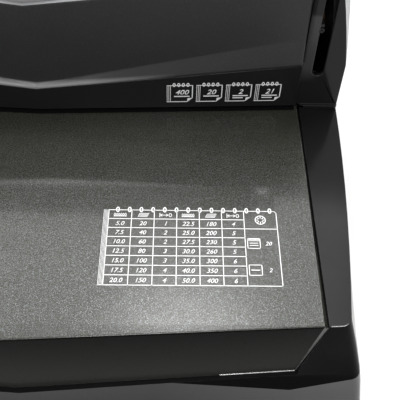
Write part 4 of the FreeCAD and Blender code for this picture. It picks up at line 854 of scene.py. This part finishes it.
# the floor shows white by shadowShare less near the machine, so that it keeps the machine's shadow
stage = {"floorSize": 6.0, "floorColour": "f6f6f5", "floorCloud": "f7f7f6", "cloudSize": 0.4,
         "roughness": 0.9, "shadowShare": 0.3, "shadowReach": (0.35, 0.9), "ambient": 0.42, "backdrop": 1.0}


def shownRay(tree):
    # 1 for what the camera, a mirror or a clear piece sees, 0 for the light that falls on the object
    path = addNode(tree, "LightPath").node.outputs
    seen = addNode(tree, "Math", [path["Is Camera Ray"], path["Is Glossy Ray"]], operation="MAXIMUM")
    return addNode(tree, "Math", [seen, path["Is Transmission Ray"]], operation="MAXIMUM")


def makeFloor():
    half = stage["floorSize"] / 2
    mesh = bpy.data.meshes.new("paleFloor")
    corners = [(-half, -half, 0), (half, -half, 0), (half, half, 0), (-half, half, 0)]
    mesh.from_pydata(corners, [], [(0, 1, 2, 3)])
    floor = bpy.data.objects.new("paleFloor", mesh)
    bpy.context.scene.collection.objects.link(floor)
    material, tree, shader, place = newFinish("paperFloor", Roughness=stage["roughness"])
    cloud = addNode(tree, "TexNoise", {"Vector": place, "Scale": 1 / stage["cloudSize"]})
    tones = {0: cloud, 6: hexColour(stage["floorColour"]), 7: hexColour(stage["floorCloud"])}
    tree.links.new(addNode(tree, "Mix", tones, 2, data_type="RGBA"), shader.inputs["Base Color"])
    away = addNode(tree, "VectorMath", [place], "Value", operation="LENGTH")
    white = addNode(tree, "MapRange", [away, *stage["shadowReach"], 1 - stage["shadowShare"], 1])
    share = addNode(tree, "Math", [shownRay(tree), white], operation="MULTIPLY")
    paper = addNode(tree, "Emission", {"Color": (1, 1, 1, 1), "Strength": 1.0})
    tree.links.new(addNode(tree, "MixShader", [share, shader.outputs["BSDF"], paper]),
                   tree.nodes["Material Output"].inputs["Surface"])
    mesh.materials.append(material)


def makeWorld():
    world = bpy.data.worlds.new("softRoom")
    bpy.context.scene.world = world
    world.use_nodes = True
    tree = world.node_tree
    background = tree.nodes["Background"]
    tree.links.new(addNode(tree, "MapRange", [shownRay(tree), 0, 1, stage["ambient"], stage["backdrop"]]),
                   background.inputs["Strength"])
    background.inputs["Color"].default_value = (1, 1, 1, 1)


# each soft box: where it hangs, what it faces, its width and height, its power in watts, and whether it fades
# to its rim
softBoxes = {
    "rearBox": ((-0.08, 0.409, 1.034), (-0.08, -0.10, 0.08), 1.08, 0.46, 6.0, False),
    "rearStrip": ((-0.17, 0.70, 0.90), (-0.17, 0.09, 0.08), 0.92, 0.2, 4.2, False),
    "topBox": ((0.10, 0.25, 0.90), (0.09, -0.12, 0.08), 0.42, 0.36, 6.8, True),
    "frontBox": ((0.03, -0.62, 0.95), (0.05, -0.05, 0.08), 0.3, 0.3, 4.6, False),
    "sideBox": ((0.85, 0.70, 0.50), (0.15, 0.0, 0.08), 0.5, 0.5, 4.0, False),
}


def fadeLamp(light):
    # full strength in the middle of the lamp, none at its rim
    light.use_nodes = True
    tree = light.node_tree
    spot = addNode(tree, "NewGeometry", out="Parametric")
    offset = addNode(tree, "VectorMath", [spot, (0.5, 0.5, 0.0)], operation="SUBTRACT")
    flat = addNode(tree, "VectorMath", [offset, (1.0, 1.0, 0.0)], operation="MULTIPLY")
    distance = addNode(tree, "VectorMath", [flat], "Value", operation="LENGTH")
    fade = addNode(tree, "MapRange", [distance, 0.0, 0.5, 1.0, 0.0], interpolation_type="SMOOTHSTEP")
    tree.links.new(fade, tree.nodes["Emission"].inputs["Strength"])


def makeLights():
    for name, (place, target, width, height, power, fades) in softBoxes.items():
        light = bpy.data.lights.new(name, "AREA")
        light.shape = "RECTANGLE"
        light.size = width
        light.size_y = height
        light.energy = power
        if fades:
            fadeLamp(light)
        lamp = bpy.data.objects.new(name, light)
        lamp.location = place
        lamp.rotation_mode = "QUATERNION"
        lamp.rotation_quaternion = (Vector(target) - Vector(place)).to_track_quat("-Z", "Y")
        lamp.visible_camera = False
        bpy.context.scene.collection.objects.link(lamp)


# the camera stands over the operator's side and looks down on the right half
cameraSet = {"place": (0.0807, -0.2729, 0.3655), "forward": (0.0335, 0.6118, -0.7903), "rollDegrees": 3.18,
             "lens": 61.2, "sensor": 36.0, "nearest": 0.01}


def makeCamera():
    camera = bpy.data.cameras.new("tableView")
    camera.lens = cameraSet["lens"]
    camera.sensor_width = cameraSet["sensor"]
    camera.clip_start = cameraSet["nearest"]
    holder = bpy.data.objects.new("tableView", camera)
    holder.location = cameraSet["place"]
    holder.rotation_mode = "QUATERNION"
    roll = Quaternion((0, 0, 1), math.radians(cameraSet["rollDegrees"]))
    holder.rotation_quaternion = Vector(cameraSet["forward"]).to_track_quat("-Z", "Y") @ roll
    bpy.context.scene.collection.objects.link(holder)
    bpy.context.scene.camera = holder


makeFloor()
makeWorld()
makeLights()
makeCamera()
bpy.context.scene.view_settings.view_transform = "Standard"
print("stage set")
